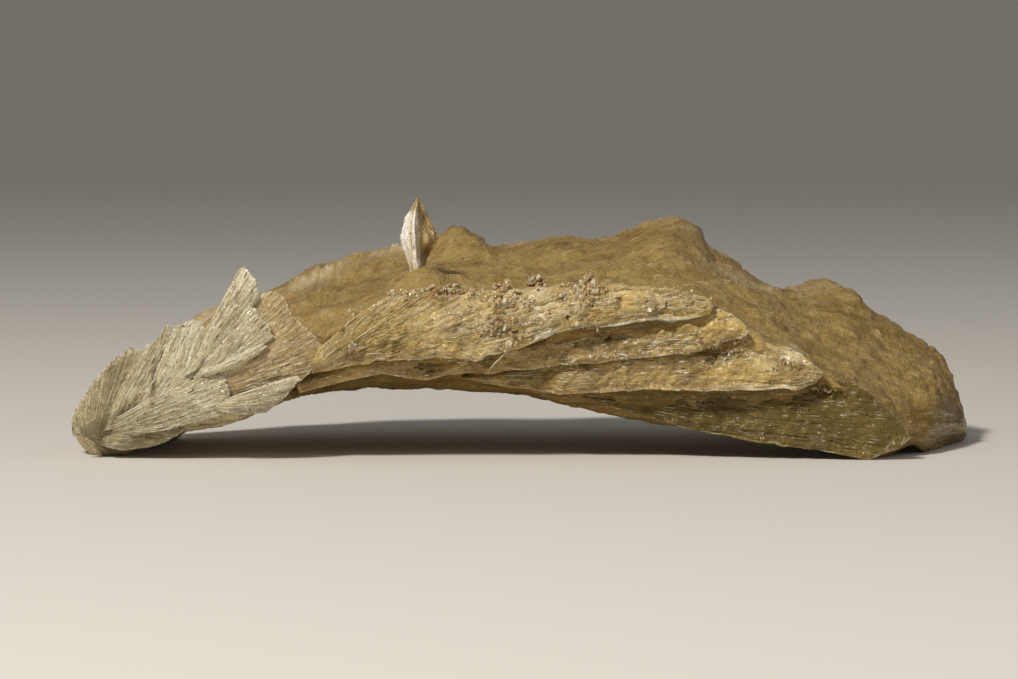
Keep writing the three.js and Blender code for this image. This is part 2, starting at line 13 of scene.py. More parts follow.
import bpy
import numpy as np
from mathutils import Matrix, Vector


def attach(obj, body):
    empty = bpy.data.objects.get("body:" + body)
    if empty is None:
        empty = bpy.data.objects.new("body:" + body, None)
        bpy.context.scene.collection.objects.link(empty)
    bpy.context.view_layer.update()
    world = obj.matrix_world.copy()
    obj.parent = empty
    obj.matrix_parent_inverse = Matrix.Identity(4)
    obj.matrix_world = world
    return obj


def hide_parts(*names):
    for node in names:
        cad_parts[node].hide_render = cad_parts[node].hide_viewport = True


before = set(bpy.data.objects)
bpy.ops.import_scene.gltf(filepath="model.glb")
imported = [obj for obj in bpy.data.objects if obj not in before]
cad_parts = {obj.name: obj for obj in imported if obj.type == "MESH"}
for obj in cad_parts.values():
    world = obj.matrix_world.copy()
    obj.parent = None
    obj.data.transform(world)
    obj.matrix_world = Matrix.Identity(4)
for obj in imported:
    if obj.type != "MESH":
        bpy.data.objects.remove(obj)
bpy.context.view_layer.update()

LOG = logging.getLogger("probertite")

MM = 0.001
NODE = "probertite"
BODY = "root"

SHIFT = np.array([-0.15, -0.95, 0.0])
TOE_END = -28.5
RIGHT_END = 28.8
SPRAY_SPLIT = -15.0
TOE_ORIGIN = np.array([-27.9, -10.0, 1.3])
ROOT_ORIGIN = np.array([-13.9, -9.0, 4.2])
BACK_STRIDE = 8
PLAN = (0, 1)
FRONT = (0, 2)

Socket = bpy.types.NodeSocket
Material = bpy.types.Material
Object = bpy.types.Object
Array = np.ndarray
Chance = np.random.Generator
Triple = tuple[float, float, float]
Colour = tuple[float, float, float, float]
Pair = tuple[float, float]
Level = Array | float
Outline = list[Pair]


class Line(Enum):
    """Guide lines of the crust, as (x, y, z) points from the toe to the right end."""

    FRONT_EDGE = (
        (-28.5, -6.5, 1.6), (-27.9, -7.2, 0.6), (-26.6, -8, 0), (-25.2, -8.5, 0.2), (-23.8, -8.8, 1),
        (-22.6, -9, 1.4), (-20.8, -9.5, 1.7), (-18, -10, 2.3), (-14.6, -9, 3.6), (-12.2, -7.2, 4),
        (-9.1, -6, 4.1), (-4.1, -6, 4), (-1.6, -6.5, 3.9), (3.4, -8, 3.1), (7.8, -9, 2.3),
        (12.1, -9.5, 1.6), (17.1, -9.5, 1), (18.9, -9.5, 1), (19.9, -9.5, 0.5), (20.9, -9.5, -0.3),
        (22.5, -9, 0), (23.4, -8.4, 0.4), (24.3, -7.2, 0.6), (25.4, -4.6, -0.1), (27, -0.5, 0.1),
        (28.8, 4.5, 0.4),
    )
    FRONT_BELLY = (
        (-28.5, -6.8, 1.7), (-26.6, -9.4, 1.6), (-23, -10.8, 2.5), (-18, -11.6, 4), (-13, -10.6, 5.2),
        (-8, -9.5, 6), (0, -9.8, 5.8), (6, -10.3, 4.8), (12, -10.5, 3.6), (18, -10.6, 2.2), (22, -10, 1.2),
        (24.3, -8.3, 1.1), (26.5, -3.5, 1.4), (28.2, 1.2, 1), (28.8, 4.4, 0.7),
    )
    RIDGE_NOSE = (
        (-28.5, -6.9, 1.8), (-26.6, -9.6, 3), (-23, -11.4, 4.8), (-18, -12, 6), (-13, -11.6, 6.6),
        (-8, -12.2, 8.4), (0, -12.4, 8.8), (6, -12.4, 8.8), (10, -12.3, 8.3), (14, -11.9, 6.2),
        (18, -11.5, 4.3), (22, -10.4, 2.2), (24.3, -8.4, 1.3), (26.5, -3.5, 2), (28.2, 1.2, 1.6),
        (28.8, 4.4, 0.9),
    )
    RIDGE_TOP = (
        (-28.5, -6.6, 1.9), (-27.9, -7.5, 2.8), (-26.6, -8.5, 4.2), (-24.6, -9.5, 5.8), (-22.6, -10.5, 6.7),
        (-20.7, -11, 7.4), (-17, -11, 7.9), (-13.6, -11, 7.8), (-12.4, -11.5, 7.9), (-11.1, -12, 8.5),
        (-9.6, -12, 9.5), (-7.7, -12, 10.4), (-6.8, -12, 10.6), (-4.9, -12, 10.1), (-2.8, -12, 10.4),
        (2.1, -12, 10.7), (7.1, -12, 10.8), (9.5, -12, 10.6), (11.7, -12, 9.6), (13.4, -11.5, 8.6),
        (15.1, -11.5, 7.2), (17, -11.5, 6.6), (18.4, -11.5, 5.4), (20.7, -11, 4), (22.4, -10.5, 3),
        (24, -8.5, 1.7), (26.3, -3, 3), (28, 1.5, 2.4), (28.8, 4.5, 1.1),
    )
    VALLEY = (
        (-28.5, -6.4, 1.8), (-26.6, -6.5, 4), (-23, -7.5, 5.6), (-18, -8, 6.6), (-13, -8, 7.2),
        (-8, -8.5, 9.3), (0, -8.8, 9.7), (6, -8.8, 9.7), (12, -8.5, 8.6), (16, -8, 7), (20, -7, 5.2),
        (24, -4.5, 3.9), (26.3, -1, 3.9), (28, 3, 2.8), (28.8, 4.7, 1.2),
    )
    MID_SLOPE = (
        (-28.5, -5.8, 1.7), (-26.6, -2.5, 3.4), (-23, -2, 5.4), (-18, -2, 7.2), (-13, -2, 8.8),
        (-9, -2, 10.1), (-6.6, -2, 11.2), (-4, -2, 10.5), (0, -2, 10.2), (6, -2, 10.2), (12, -2, 9.6),
        (16, -1, 8.2), (20, 0, 6.9), (24, 1.5, 5.6), (26.5, 2.5, 4.6), (28.2, 4.4, 2.7), (28.8, 5.2, 1.2),
    )
    BACK_SLOPE = (
        (-28.5, -5.5, 1.6), (-26.6, 1.5, 2.9), (-23, 3.5, 5.9), (-18, 5.5, 8), (-13, 6, 9.8), (-8, 6, 11),
        (-4, 6, 11.6), (0, 6, 11.3), (6, 6, 11.6), (10, 6, 11.7), (14, 6, 10), (18, 6.5, 8.6), (21, 6.8, 8.2),
        (24, 7, 6.6), (26.8, 6.8, 5), (28.3, 6, 2.8), (28.8, 5.6, 1.2),
    )
    RIM_CREST = (
        (-28.5, -5.3, 1.5), (-26.8, 3.6, 2.4), (-24.3, 6.4, 5), (-22, 8, 7.6), (-20, 10, 8.5),
        (-18.2, 11, 9), (-16.6, 12, 9.5), (-15.1, 13, 10.4), (-13.5, 13, 11.2), (-10.3, 13, 12),
        (-8.7, 12.5, 12.4), (-6.3, 12, 12.9), (-4.7, 12, 13.6), (-3.1, 13, 13), (-2.3, 14, 12.3),
        (1.8, 14, 12.9), (5.8, 14, 12.9), (7.4, 14, 13.6), (9, 14, 14.1), (10.2, 14, 14.2),
        (11.6, 14, 13.6), (12.3, 14, 12.4), (13.8, 14, 11.5), (16.3, 14, 9.6), (17.9, 14, 9.6),
        (20.3, 14, 10.1), (21.9, 13.5, 9.3), (22.7, 13.3, 8.1), (24.2, 13, 7.5), (25.8, 12, 6.5),
        (27.2, 10, 5.5), (28, 9, 4.2), (28.3, 7.7, 2.6), (28.8, 6, 1.1),
    )
    RIM_OUTER = (
        (-28.5, -5.3, 1.3), (-26.8, 4.2, 1.6), (-24.3, 7.3, 3.4), (-22, 9.1, 5.6), (-18, 12.2, 7.4),
        (-13, 14.2, 9.4), (-8, 14.3, 10.6), (-4, 13.4, 11.6), (-2, 14.9, 10.9), (4, 15, 11.5),
        (9.5, 15.1, 12.4), (12, 15, 11.4), (15.5, 15, 8.8), (20, 15.2, 8.4), (23, 14.2, 6.3),
        (26, 12.8, 4.8), (28, 9.6, 2.6), (28.8, 6.3, 0.9),
    )
    RIM_UNDER = (
        (-28.5, -5.4, 1.2), (-26.8, 3.4, 0.9), (-24.3, 6.4, 1.6), (-22, 8, 3.2), (-18, 11.3, 5.4),
        (-13, 13, 7.6), (-8, 13.2, 8.8), (-4, 12.6, 9.5), (0, 13.6, 9.5), (6, 13.7, 9.9),
        (10, 13.8, 10.4), (14, 13.7, 7.8), (18, 13.8, 6.4), (21, 13.8, 6), (24, 12.6, 4),
        (26.5, 10.8, 2.2), (28, 8, 0.6), (28.8, 6, 0.4),
    )
    VAULT_BACK = (
        (-28.5, -5.6, 1.1), (-26.8, 1.8, 0.2), (-24.8, 4, -0.4), (-23.2, 5, -0.1), (-21.5, 6, 1.6),
        (-20, 6.4, 2.6), (-17, 7, 4.2), (-13, 7, 6.4), (-8, 7, 7.6), (0, 7, 8.3), (6, 7, 8.4),
        (10, 7, 8.2), (14, 7, 6.6), (18, 7, 5), (22, 7, 3.4), (25, 7, 1.2), (27, 6.5, -0.3),
        (28.3, 5.8, 0), (28.8, 5.4, 0.3),
    )
    VAULT_MIDDLE = (
        (-28.5, -6, 1.1), (-26.8, -1.5, 0.3), (-24.5, 0, 0.6), (-22, 0, 1.8), (-18, 0, 3.9), (-13, 0, 5.4),
        (-8, 0, 6.2), (0, 0, 6.6), (6, 0, 6.4), (12, 0, 5.2), (17, 0.5, 3.6), (21, 1, 2.4), (24, 2, 1.2),
        (26.6, 2.6, -0.3), (28.2, 4, -0.2), (28.8, 5, 0.2),
    )
    VAULT_FRONT = (
        (-28.5, -6.3, 1.2), (-26.6, -6, -0.4), (-25.6, -6.4, -0.4), (-24.4, -6.8, 0.6), (-22.6, -6.8, 1.2),
        (-18, -7, 2.7), (-14, -5.4, 4.1), (-9, -3.4, 4.7), (-4, -3.4, 4.7), (1, -4.2, 4.1), (6, -5.6, 3),
        (12, -6.4, 2.1), (17, -6.6, 1.3), (19.4, -6.7, 1), (20.7, -6.8, -0.1), (22.5, -6.2, 0.4),
        (24.4, -4.4, 0.7), (25.8, -2.4, -0.1), (27.4, 1.2, 0), (28.8, 4.7, 0.3),
    )


def cell_value(*cells: Array, seed: int = 0) -> Array:
    """A repeatable number from 0 to 1 for each whole-numbered cell.

    Formula: each coordinate times a large odd number, joined by exclusive or, then mixed by two
    rounds of shift and multiply, and the top bits scaled to 0 to 1.

    Args:
        cells: one array of whole numbers for each axis.
        seed: chooses another set of numbers.

    Returns:
        An array of the cells' shape.
    """
    factors = (0x9E3779B97F4A7C15, 0xC2B2AE3D27D4EB4F, 0x165667B19E3779F9, 0x27D4EB2F165667C5)
    mixed = np.full(np.broadcast(*cells).shape, seed + 1, np.uint64) * np.uint64(0x94D049BB133111EB)
    for cell, factor in zip(cells, factors):
        mixed = mixed ^ (np.asarray(cell).astype(np.int64).astype(np.uint64) * np.uint64(factor))
        mixed = (mixed ^ (mixed >> np.uint64(29))) * np.uint64(0xBF58476D1CE4E5B9)
    mixed = mixed ^ (mixed >> np.uint64(32))
    return (mixed >> np.uint64(11)).astype(float) / float(1 << 53)


def smooth_noise(*axes: Array, seed: int = 0) -> Array:
    """Smooth noise from -1 to 1, with features one unit across.

    Formula: the values of the cell's corners, blended along each axis by 3 s squared less 2 s cubed.

    Args:
        axes: the coordinates, one array for each axis.
        seed: chooses another pattern.

    Returns:
        An array of the coordinates' shape.
    """
    floors = [np.floor(axis) for axis in axes]
    eased = [(axis - low) ** 2 * (3 - 2 * (axis - low)) for axis, low in zip(axes, floors)]
    total = np.zeros(np.broadcast(*axes).shape)
    for corner in itertools.product((0, 1), repeat=len(axes)):
        weight = 1.0
        for part, high in zip(eased, corner):
            weight = weight * (part if high else 1 - part)
        total += weight * cell_value(*[low + high for low, high in zip(floors, corner)], seed=seed)
    return 2 * total - 1


def rough_noise(*axes: Array, octaves: int = 4, seed: int = 0) -> Array:
    """Smooth noise with finer and weaker copies of itself added, each half the size and height.

    Args:
        axes: the coordinates, one array for each axis.
        octaves: number of copies.
        seed: chooses another pattern.

    Returns:
        An array of the coordinates' shape.
    """
    total = np.zeros(np.broadcast(*axes).shape)
    for octave in range(octaves):
        total += smooth_noise(*[axis * 2.03**octave for axis in axes], seed=seed + octave) / 2**octave
    return total


def pebbles(x: Array, y: Array, z: Array, seed: int = 0) -> Array:
    """Height, from 0 to 1, of round grains packed about one unit apart.

    Formula: each cell holds one grain at a random place in it. The height is one less the square of
    the distance to the nearest grain, times that grain's own size.

    Args:
        x, y, z: the coordinates, in grain widths.
        seed: chooses another packing.

    Returns:
        An array of heights.
    """
    floors = [np.floor(axis) for axis in (x, y, z)]
    height = np.zeros(x.shape)
    for step_by in itertools.product((-1, 0, 1), repeat=3):
        cells = [low + step_x for low, step_x in zip(floors, step_by)]
        away = sum(
            (axis - cell - cell_value(*cells, seed=seed + k)) ** 2
            for k, (axis, cell) in enumerate(zip((x, y, z), cells))
        )
        size = 0.5 + 0.5 * cell_value(*cells, seed=seed + 3)
        height = np.maximum(height, size * (1 - away))
    return height


def laths(across: Array, along: Array, seed: int = 0) -> Array:
    """Height, from about 0 to 1, of a bundle of laths that lie side by side and end at random.

    Formula: rows one unit wide are cut in pieces about one unit long, each row with its own start.
    A piece has its own height, and tilts a little across and along.

    Args:
        across: distance across the fibres, in lath widths.
        along: distance along the fibres, in lath lengths.
        seed: chooses another bundle.

    Returns:
        An array of heights.
    """
    wander = across + 0.3 * smooth_noise(across * 0.21, along * 0.8, seed=seed + 7)
    row = np.floor(wander)
    side = wander - row - 0.5
    reach = along * (0.6 + 0.8 * cell_value(row, seed=seed + 1)) + 9 * cell_value(row, seed=seed + 2)
    reach = reach + 0.12 * side + 0.05 * smooth_noise(across * 3, along * 3, seed=seed + 8)
    piece = np.floor(reach)
    end = reach - piece - 0.5
    height = cell_value(row, piece, seed=seed + 3)
    turned = (cell_value(row, piece, seed=seed + 4) - 0.5) * side
    tilted = (cell_value(row, piece, seed=seed + 5) - 0.4) * end
    return height + 0.9 * (turned + tilted)


def step(values: Array, low: float, high: float) -> Array:
    """A soft step from 0 at low to 1 at high."""
    part = np.clip((values - low) / (high - low), 0, 1)
    return part**2 * (3 - 2 * part)


@dataclass(frozen=True)
class Patch:
    """A soft-edged patch of one tone on the front, given by its middle and its two half sizes in mm."""

    x: float
    z: float
    half_x: float
    half_z: float
    amount: float
    rise: float = 0.0

    def at(self, points: Array) -> Array:
        """Amount of the patch at each point.

        Formula: the amount times e to the minus the fourth power of the distance from the middle,
        in half sizes, with the patch's long axis rising by the given slope.

        Args:
            points: points in mm.

        Returns:
            One amount for each point.
        """
        side = (points[..., 0] - self.x) / self.half_x
        up = (points[..., 2] - self.z - self.rise * (points[..., 0] - self.x)) / self.half_z
        uneven = 1 + 0.35 * rough_noise(points[..., 0] * 1.1, points[..., 2] * 1.6, seed=61)
        return self.amount * np.exp(-(((side**2 + up**2) * uneven) ** 2)) * step(points[..., 1], -5.0, -8.0)


class Tone(Enum):
    """What a colour channel of the tone attribute stands for; stain also holds painted shade, pale and rim
    painted highlights.
    """

    PALE = 0
    STAIN_AND_SHADE = 1
    GRIT = 2
    RIM_HIGHLIGHT = 3


# (14.5, 4.55) along the third blade's lower edge are painted highlights; the pale patches at (1.0, 8.0)
# Patches of tone on the front. The pale lines at (9.4, 8.75) along the ridge blade's lower edge and at
# and (8.0, 7.6) are pale fibres, partly painted highlight. The stain patches at (5.6, 7.3) and (4.8, 8.3)
# under the ridge blade's lip and at (-25.4, 2.4) and (-23.5, 1.3) on the fan's lower part are painted shade.
PATCHES: dict[Tone, list[Patch]] = {
    Tone.PALE: [
        Patch(-18.4, 5.6, 3.2, 0.5, 0.6, 0.4), Patch(-21.5, 6.0, 1.2, 1.4, 0.5),
        Patch(1.0, 8.0, 1.8, 0.3, 0.9, 0.1), Patch(-2.2, 6.9, 1.6, 0.7, 0.6),
        Patch(16.4, 6.5, 0.8, 0.6, 0.8), Patch(9.4, 8.75, 2.6, 0.2, 0.9),
        Patch(14.5, 4.55, 2.6, 0.25, 1.0), Patch(8.0, 7.6, 2.2, 0.25, 0.5, 0.15),
        Patch(12.3, 6.6, 1.4, 0.5, 0.5), Patch(-9.0, 9.3, 2.4, 0.5, 0.4, 0.5),
        Patch(-4.0, 8.8, 3.5, 1.3, 0.5), Patch(0.8, 9.6, 3.0, 1.3, 0.8), Patch(8.0, 9.9, 3.0, 0.7, 0.4),
        Patch(14.8, 6.1, 1.8, 0.6, 0.5, -0.2),
    ],
    Tone.STAIN_AND_SHADE: [
        Patch(5.6, 7.3, 3.6, 0.8, 0.8, 0.12), Patch(-23.0, 4.6, 0.2, 1.7, 1.0, 1.4),
        Patch(-6.0, 5.6, 1.2, 0.5, 0.7), Patch(18.2, 4.35, 1.7, 0.5, 1.0, -0.25),
        Patch(12.0, 7.0, 1.9, 0.35, 0.9, 0.3), Patch(0.4, 8.0, 2.0, 0.7, 0.6),
        Patch(-10.0, 6.6, 3.4, 0.5, 0.4, 0.3), Patch(19.0, 2.2, 3.5, 1.0, 0.35, -0.2),
        Patch(0.0, 4.6, 9.0, 0.8, 0.3), Patch(3.0, 5.5, 7.5, 1.4, 0.5),
        Patch(4.8, 8.3, 3.2, 0.2, 0.9, 0.07), Patch(-25.4, 2.4, 1.6, 0.7, 0.4, 0.4),
        Patch(-23.5, 1.3, 4.5, 0.8, 0.4, 0.15), Patch(12.2, 6.35, 1.8, 0.3, 1.0, 0.3),
    ],
    Tone.GRIT: [
        Patch(-0.4, 9.3, 2.6, 1.5, 1.0), Patch(-1.6, 8.0, 1.6, 1.3, 0.9), Patch(3.8, 10.3, 1.6, 0.7, 1.0),
        Patch(-5.0, 10.4, 2.2, 0.6, 0.8), Patch(3.0, 9.2, 2.5, 1.0, 0.5), Patch(9.0, 9.7, 2.6, 0.8, 0.4),
        Patch(16.0, 6.0, 0.9, 0.9, 0.8), Patch(-10.6, 7.6, 2.0, 1.0, 0.4), Patch(12.2, 7.2, 1.8, 0.4, 0.8),
        Patch(18.2, 4.35, 1.4, 0.4, 0.9, -0.25), Patch(12.4, 6.35, 2.2, 0.4, 1.0, 0.3),
    ],
}


def tones_at(points: Array, base: Triple) -> Array:
    """The tone channels at each point: the piece's own tones with the patches laid over them.

    Args:
        points: points in the guide lines' frame, in mm.
        base: the piece's own amounts of pale, stain and grit, where stain also stands for painted shade.

    Returns:
        An array with four channels, of which the last, the rim, is 0.
    """
    tones = np.zeros(points.shape[:-1] + (4,))
    for tone, patches in PATCHES.items():
        channel = np.full(points.shape[:-1], base[tone.value])
        for patch in patches:
            channel = np.maximum(channel, patch.at(points))
        tones[..., tone.value] = channel
    return tones


def plain_tones(points: Array, pale: Level, stain_and_shade: Level = 0.0, rim: Level = 0.0) -> Array:
    """The tone channels of a piece that the patches don't reach.

    Args:
        points: points of the piece.
        pale, stain, rim: amounts for each point, or one for all; stain also stands for painted shade, rim for
            a painted highlight.

    Returns:
        An array with four channels, of which the grit is 0.
    """
    tones = np.zeros(points.shape[:-1] + (4,))
    for tone, amount in ((Tone.PALE, pale), (Tone.STAIN_AND_SHADE, stain_and_shade), (Tone.RIM_HIGHLIGHT, rim)):
        tones[..., tone.value] = amount
    return tones


def bell(points: Array, axes: tuple[int, int], middle: Pair, half: Pair) -> Array:
    """A round hill from 0 to 1 on two of the axes.

    Formula: e to the minus the square of the distance from the middle, in half sizes.

    Args:
        points: points in mm.
        axes: the numbers of the two axes.
        middle: where the hill is highest.
        half: its half size along each axis.

    Returns:
        One height for each point.
    """
    across, along = ((points[..., k] - low) / size for k, low, size in zip(axes, middle, half))
    return np.exp(-(across**2) - along**2)


def grid_quads(rings: int, sides: int) -> Array:
    """Quads between each closed ring of points and the next.

    Args:
        rings: number of rings.
        sides: points in a ring.

    Returns:
        Point numbers in an array of rings, sides and corners.
    """
    row, column = np.meshgrid(np.arange(rings - 1), np.arange(sides), indexing="ij")
    here = row * sides + column
    after = row * sides + (column + 1) % sides
    return np.stack([here, here + sides, after + sides, after], -1)


def loft_faces(rings: int, sides: int) -> Array:
    """Quads of a tube of rings, with both ends closed by quads between the ring's two halves.

    Args:
        rings: number of rings.
        sides: points in a ring, an even number.

    Returns:
        Four point numbers for each quad.
    """
    wall = grid_quads(rings, sides)
    half = np.arange(sides // 2 - 1)
    cap = np.stack([half, half + 1, sides - 2 - half, sides - 1 - half], -1)
    return np.concatenate([wall.reshape(-1, 4), cap, (rings - 1) * sides + cap[:, ::-1]])


def blade_faces(rings: int, across: int) -> Array:
    """Triangles of a blade's closed skin.

    Each ring runs over all columns of the front and comes back over one in so many of them behind.
    Each end is closed by a fan from every column of the back to the columns in front of it.

    Args:
        rings: number of rings from the root to the tips.
        across: number of steps across the front, a multiple of the back's stride.

    Returns:
        Three point numbers for each triangle.
    """
    blocks = across // BACK_STRIDE
    sides = across + blocks + 2
    quads = grid_quads(rings, sides)
    wall = [quads[..., corners].reshape(-1, 3) for corners in ([0, 1, 2], [0, 2, 3])]
    front, block = np.arange(across), np.arange(blocks)
    behind = sides - 1 - front // BACK_STRIDE
    fans = np.column_stack([front, front + 1, behind])
    joints = np.column_stack([sides - 1 - block, (block + 1) * BACK_STRIDE, sides - 2 - block])
    cap = np.concatenate([fans, joints])
    return np.concatenate([*wall, cap, (rings - 1) * sides + cap[:, ::-1]])


def repeat_faces(faces: Array, points_each: int, copies: int) -> Array:
    """The same faces for each of several copies whose points follow each other."""
    shifts = np.arange(copies)[:, None, None] * points_each
    return (faces[None] + shifts).reshape(-1, faces.shape[1])


def grid_normals(points: Array) -> Array:
    """Outward unit normals of rings of points: the cross product of the two central differences.

    Args:
        points: rings of points.

    Returns:
        One normal for each point.
    """
    along = np.gradient(points, axis=0)
    around = np.roll(points, -1, axis=1) - np.roll(points, 1, axis=1)
    normals = np.cross(around, along)
    middle = points.mean(axis=1, keepdims=True)
    if np.mean(np.sum(normals * (points - middle), axis=-1)) < 0:
        normals = -normals
    return normals / np.maximum(np.linalg.norm(normals, axis=-1, keepdims=True), 1e-9)


def make_piece(
    name: str,
    points: Array,
    faces: Array,
    tones: Array,
    fibres: Array,
    material: Material,
    texture: Level = 0.0,
    crease: float = 50.0,
) -> Object:
    """Puts one finished piece of the specimen into the scene, on the specimen's body.

    Args:
        name: the piece's name.
        points: its points in the guide lines' frame, in mm.
        faces: its faces, all of one number of corners.
        tones: four tone channels for each point.
        fibres: across, layer and along coordinates of the fibres for each point, in mm.
        material: its finish.
        texture: each point's surface, from -1 waxy and glassy over 0 fibrous to 1 granular.
        crease: angle in degrees past which an edge is sharp.

    Returns:
        The new object, at the origin.
    """
    mesh = bpy.data.meshes.new(name)
    a, b, c = (points.reshape(-1, 3)[faces[:, k]] - points.reshape(-1, 3).mean(axis=0) for k in range(3))
    if np.sum(a * np.cross(b, c)) < 0:
        faces = faces[:, ::-1]
    placed = (points.reshape(-1, 3) + SHIFT) * MM
    placed[:, 2] = np.maximum(placed[:, 2], 0)
    mesh.vertices.add(len(placed))
    mesh.vertices.foreach_set("co", placed.ravel())
    mesh.loops.add(faces.size)
    mesh.loops.foreach_set("vertex_index", faces.ravel().astype(np.int32))
    mesh.polygons.add(len(faces))
    mesh.polygons.foreach_set("loop_start", np.arange(0, faces.size, faces.shape[1], dtype=np.int32))
    mesh.polygons.foreach_set("use_smooth", np.ones(len(faces), bool))
    mesh.update(calc_edges=True)
    tone = mesh.attributes.new("tone", "FLOAT_COLOR", "POINT")
    tone.data.foreach_set("color", tones.reshape(-1, 4).astype(np.float32).ravel())
    fibre = mesh.attributes.new("fibre", "FLOAT_VECTOR", "POINT")
    fibre.data.foreach_set("vector", fibres.reshape(-1, 3).astype(np.float32).ravel())
    grain = mesh.attributes.new("texture", "FLOAT", "POINT")
    grain.data.foreach_set("value", np.broadcast_to(texture, points.shape[:-1]).astype(np.float32).ravel())
    mesh.set_sharp_from_angle(angle=math.radians(crease))
    mesh.materials.append(material)
    piece = bpy.data.objects.new(name, mesh)
    bpy.context.scene.collection.objects.link(piece)
    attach(piece, BODY)
    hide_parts(NODE)
    LOG.info("%s: %d points, %d faces", name, len(placed), len(faces))
    return piece


class Sheet:
    """Node sheet of one material: makes nodes and joins them by their sockets."""

    def __init__(self, name: str) -> None:
        """Starts an empty material with its output."""
        self.material = bpy.data.materials.new(name)
        self.material.use_nodes = True
        self.tree = self.material.node_tree
        self.tree.nodes.clear()
        self.output = self.tree.nodes.new("ShaderNodeOutputMaterial")

    def node(self, kind: str, settings: dict[str, object] | None = None, **sockets: object) -> bpy.types.Node:
        """Makes a node and fills its inputs.

        Args:
            kind: the node's type name, without the ShaderNode in front.
            settings: its properties.
            sockets: values or output sockets for its inputs, by name with _ for a space, or by number as i0.

        Returns:
            The node.
        """
        node = self.tree.nodes.new("ShaderNode" + kind)
        for key, value in (settings or {}).items():
            setattr(node, key, value)
        for key, value in sockets.items():
            numbered = key[0] == "i" and key[1:].isdigit()
            socket = node.inputs[int(key[1:]) if numbered else key.replace("_", " ")]
            if isinstance(value, Socket):
                self.tree.links.new(value, socket)
            else:
                socket.default_value = value
        return node

    def math(self, operation: str, *values: object, clamp: bool = False) -> Socket:
        """Result of a Math node on the values."""
        sockets = {f"i{i}": value for i, value in enumerate(values)}
        return self.node("Math", {"operation": operation, "use_clamp": clamp}, **sockets).outputs[0]

    def times(self, *values: object) -> Socket:
        """Product of two values."""
        return self.math("MULTIPLY", *values)

    def plus(self, *values: object) -> Socket:
        """Sum of two values."""
        return self.math("ADD", *values)

    def scaled(self, vector: Socket, scale: Triple) -> Socket:
        """The vector with each part multiplied by its own number."""
        return self.node("VectorMath", {"operation": "MULTIPLY"}, i0=vector, i1=scale).outputs[0]

    def noise(self, vector: Socket, scale: float, detail: float = 3.0, rough: float = 0.55) -> Socket:
        """Value of a Noise texture, about 0.5 on average."""
        noise = self.node("TexNoise", None, Vector=vector, Scale=scale, Detail=detail, Roughness=rough)
        return noise.outputs["Fac"]

    def ramp(self, value: Socket, low: float, high: float) -> Socket:
        """A soft step from 0 at low to 1 at high."""
        settings = {"interpolation_type": "SMOOTHSTEP"}
        return self.node("MapRange", settings, Value=value, i1=low, i2=high).outputs[0]

    def uneven(self, amount: Socket, value: Socket, low: float, high: float) -> Socket:
        """The amount, weaker where the value is on the side of low."""
        return self.times(amount, self.plus(self.times(self.ramp(value, low, high), 0.6), 0.38))

    def mix(self, amount: object, first: object, second: object, blend: str = "MIX") -> Socket:
        """Two colours mixed by an amount."""
        settings = {"data_type": "RGBA", "blend_type": blend}
        return self.node("Mix", settings, i0=amount, i6=first, i7=second).outputs[2]


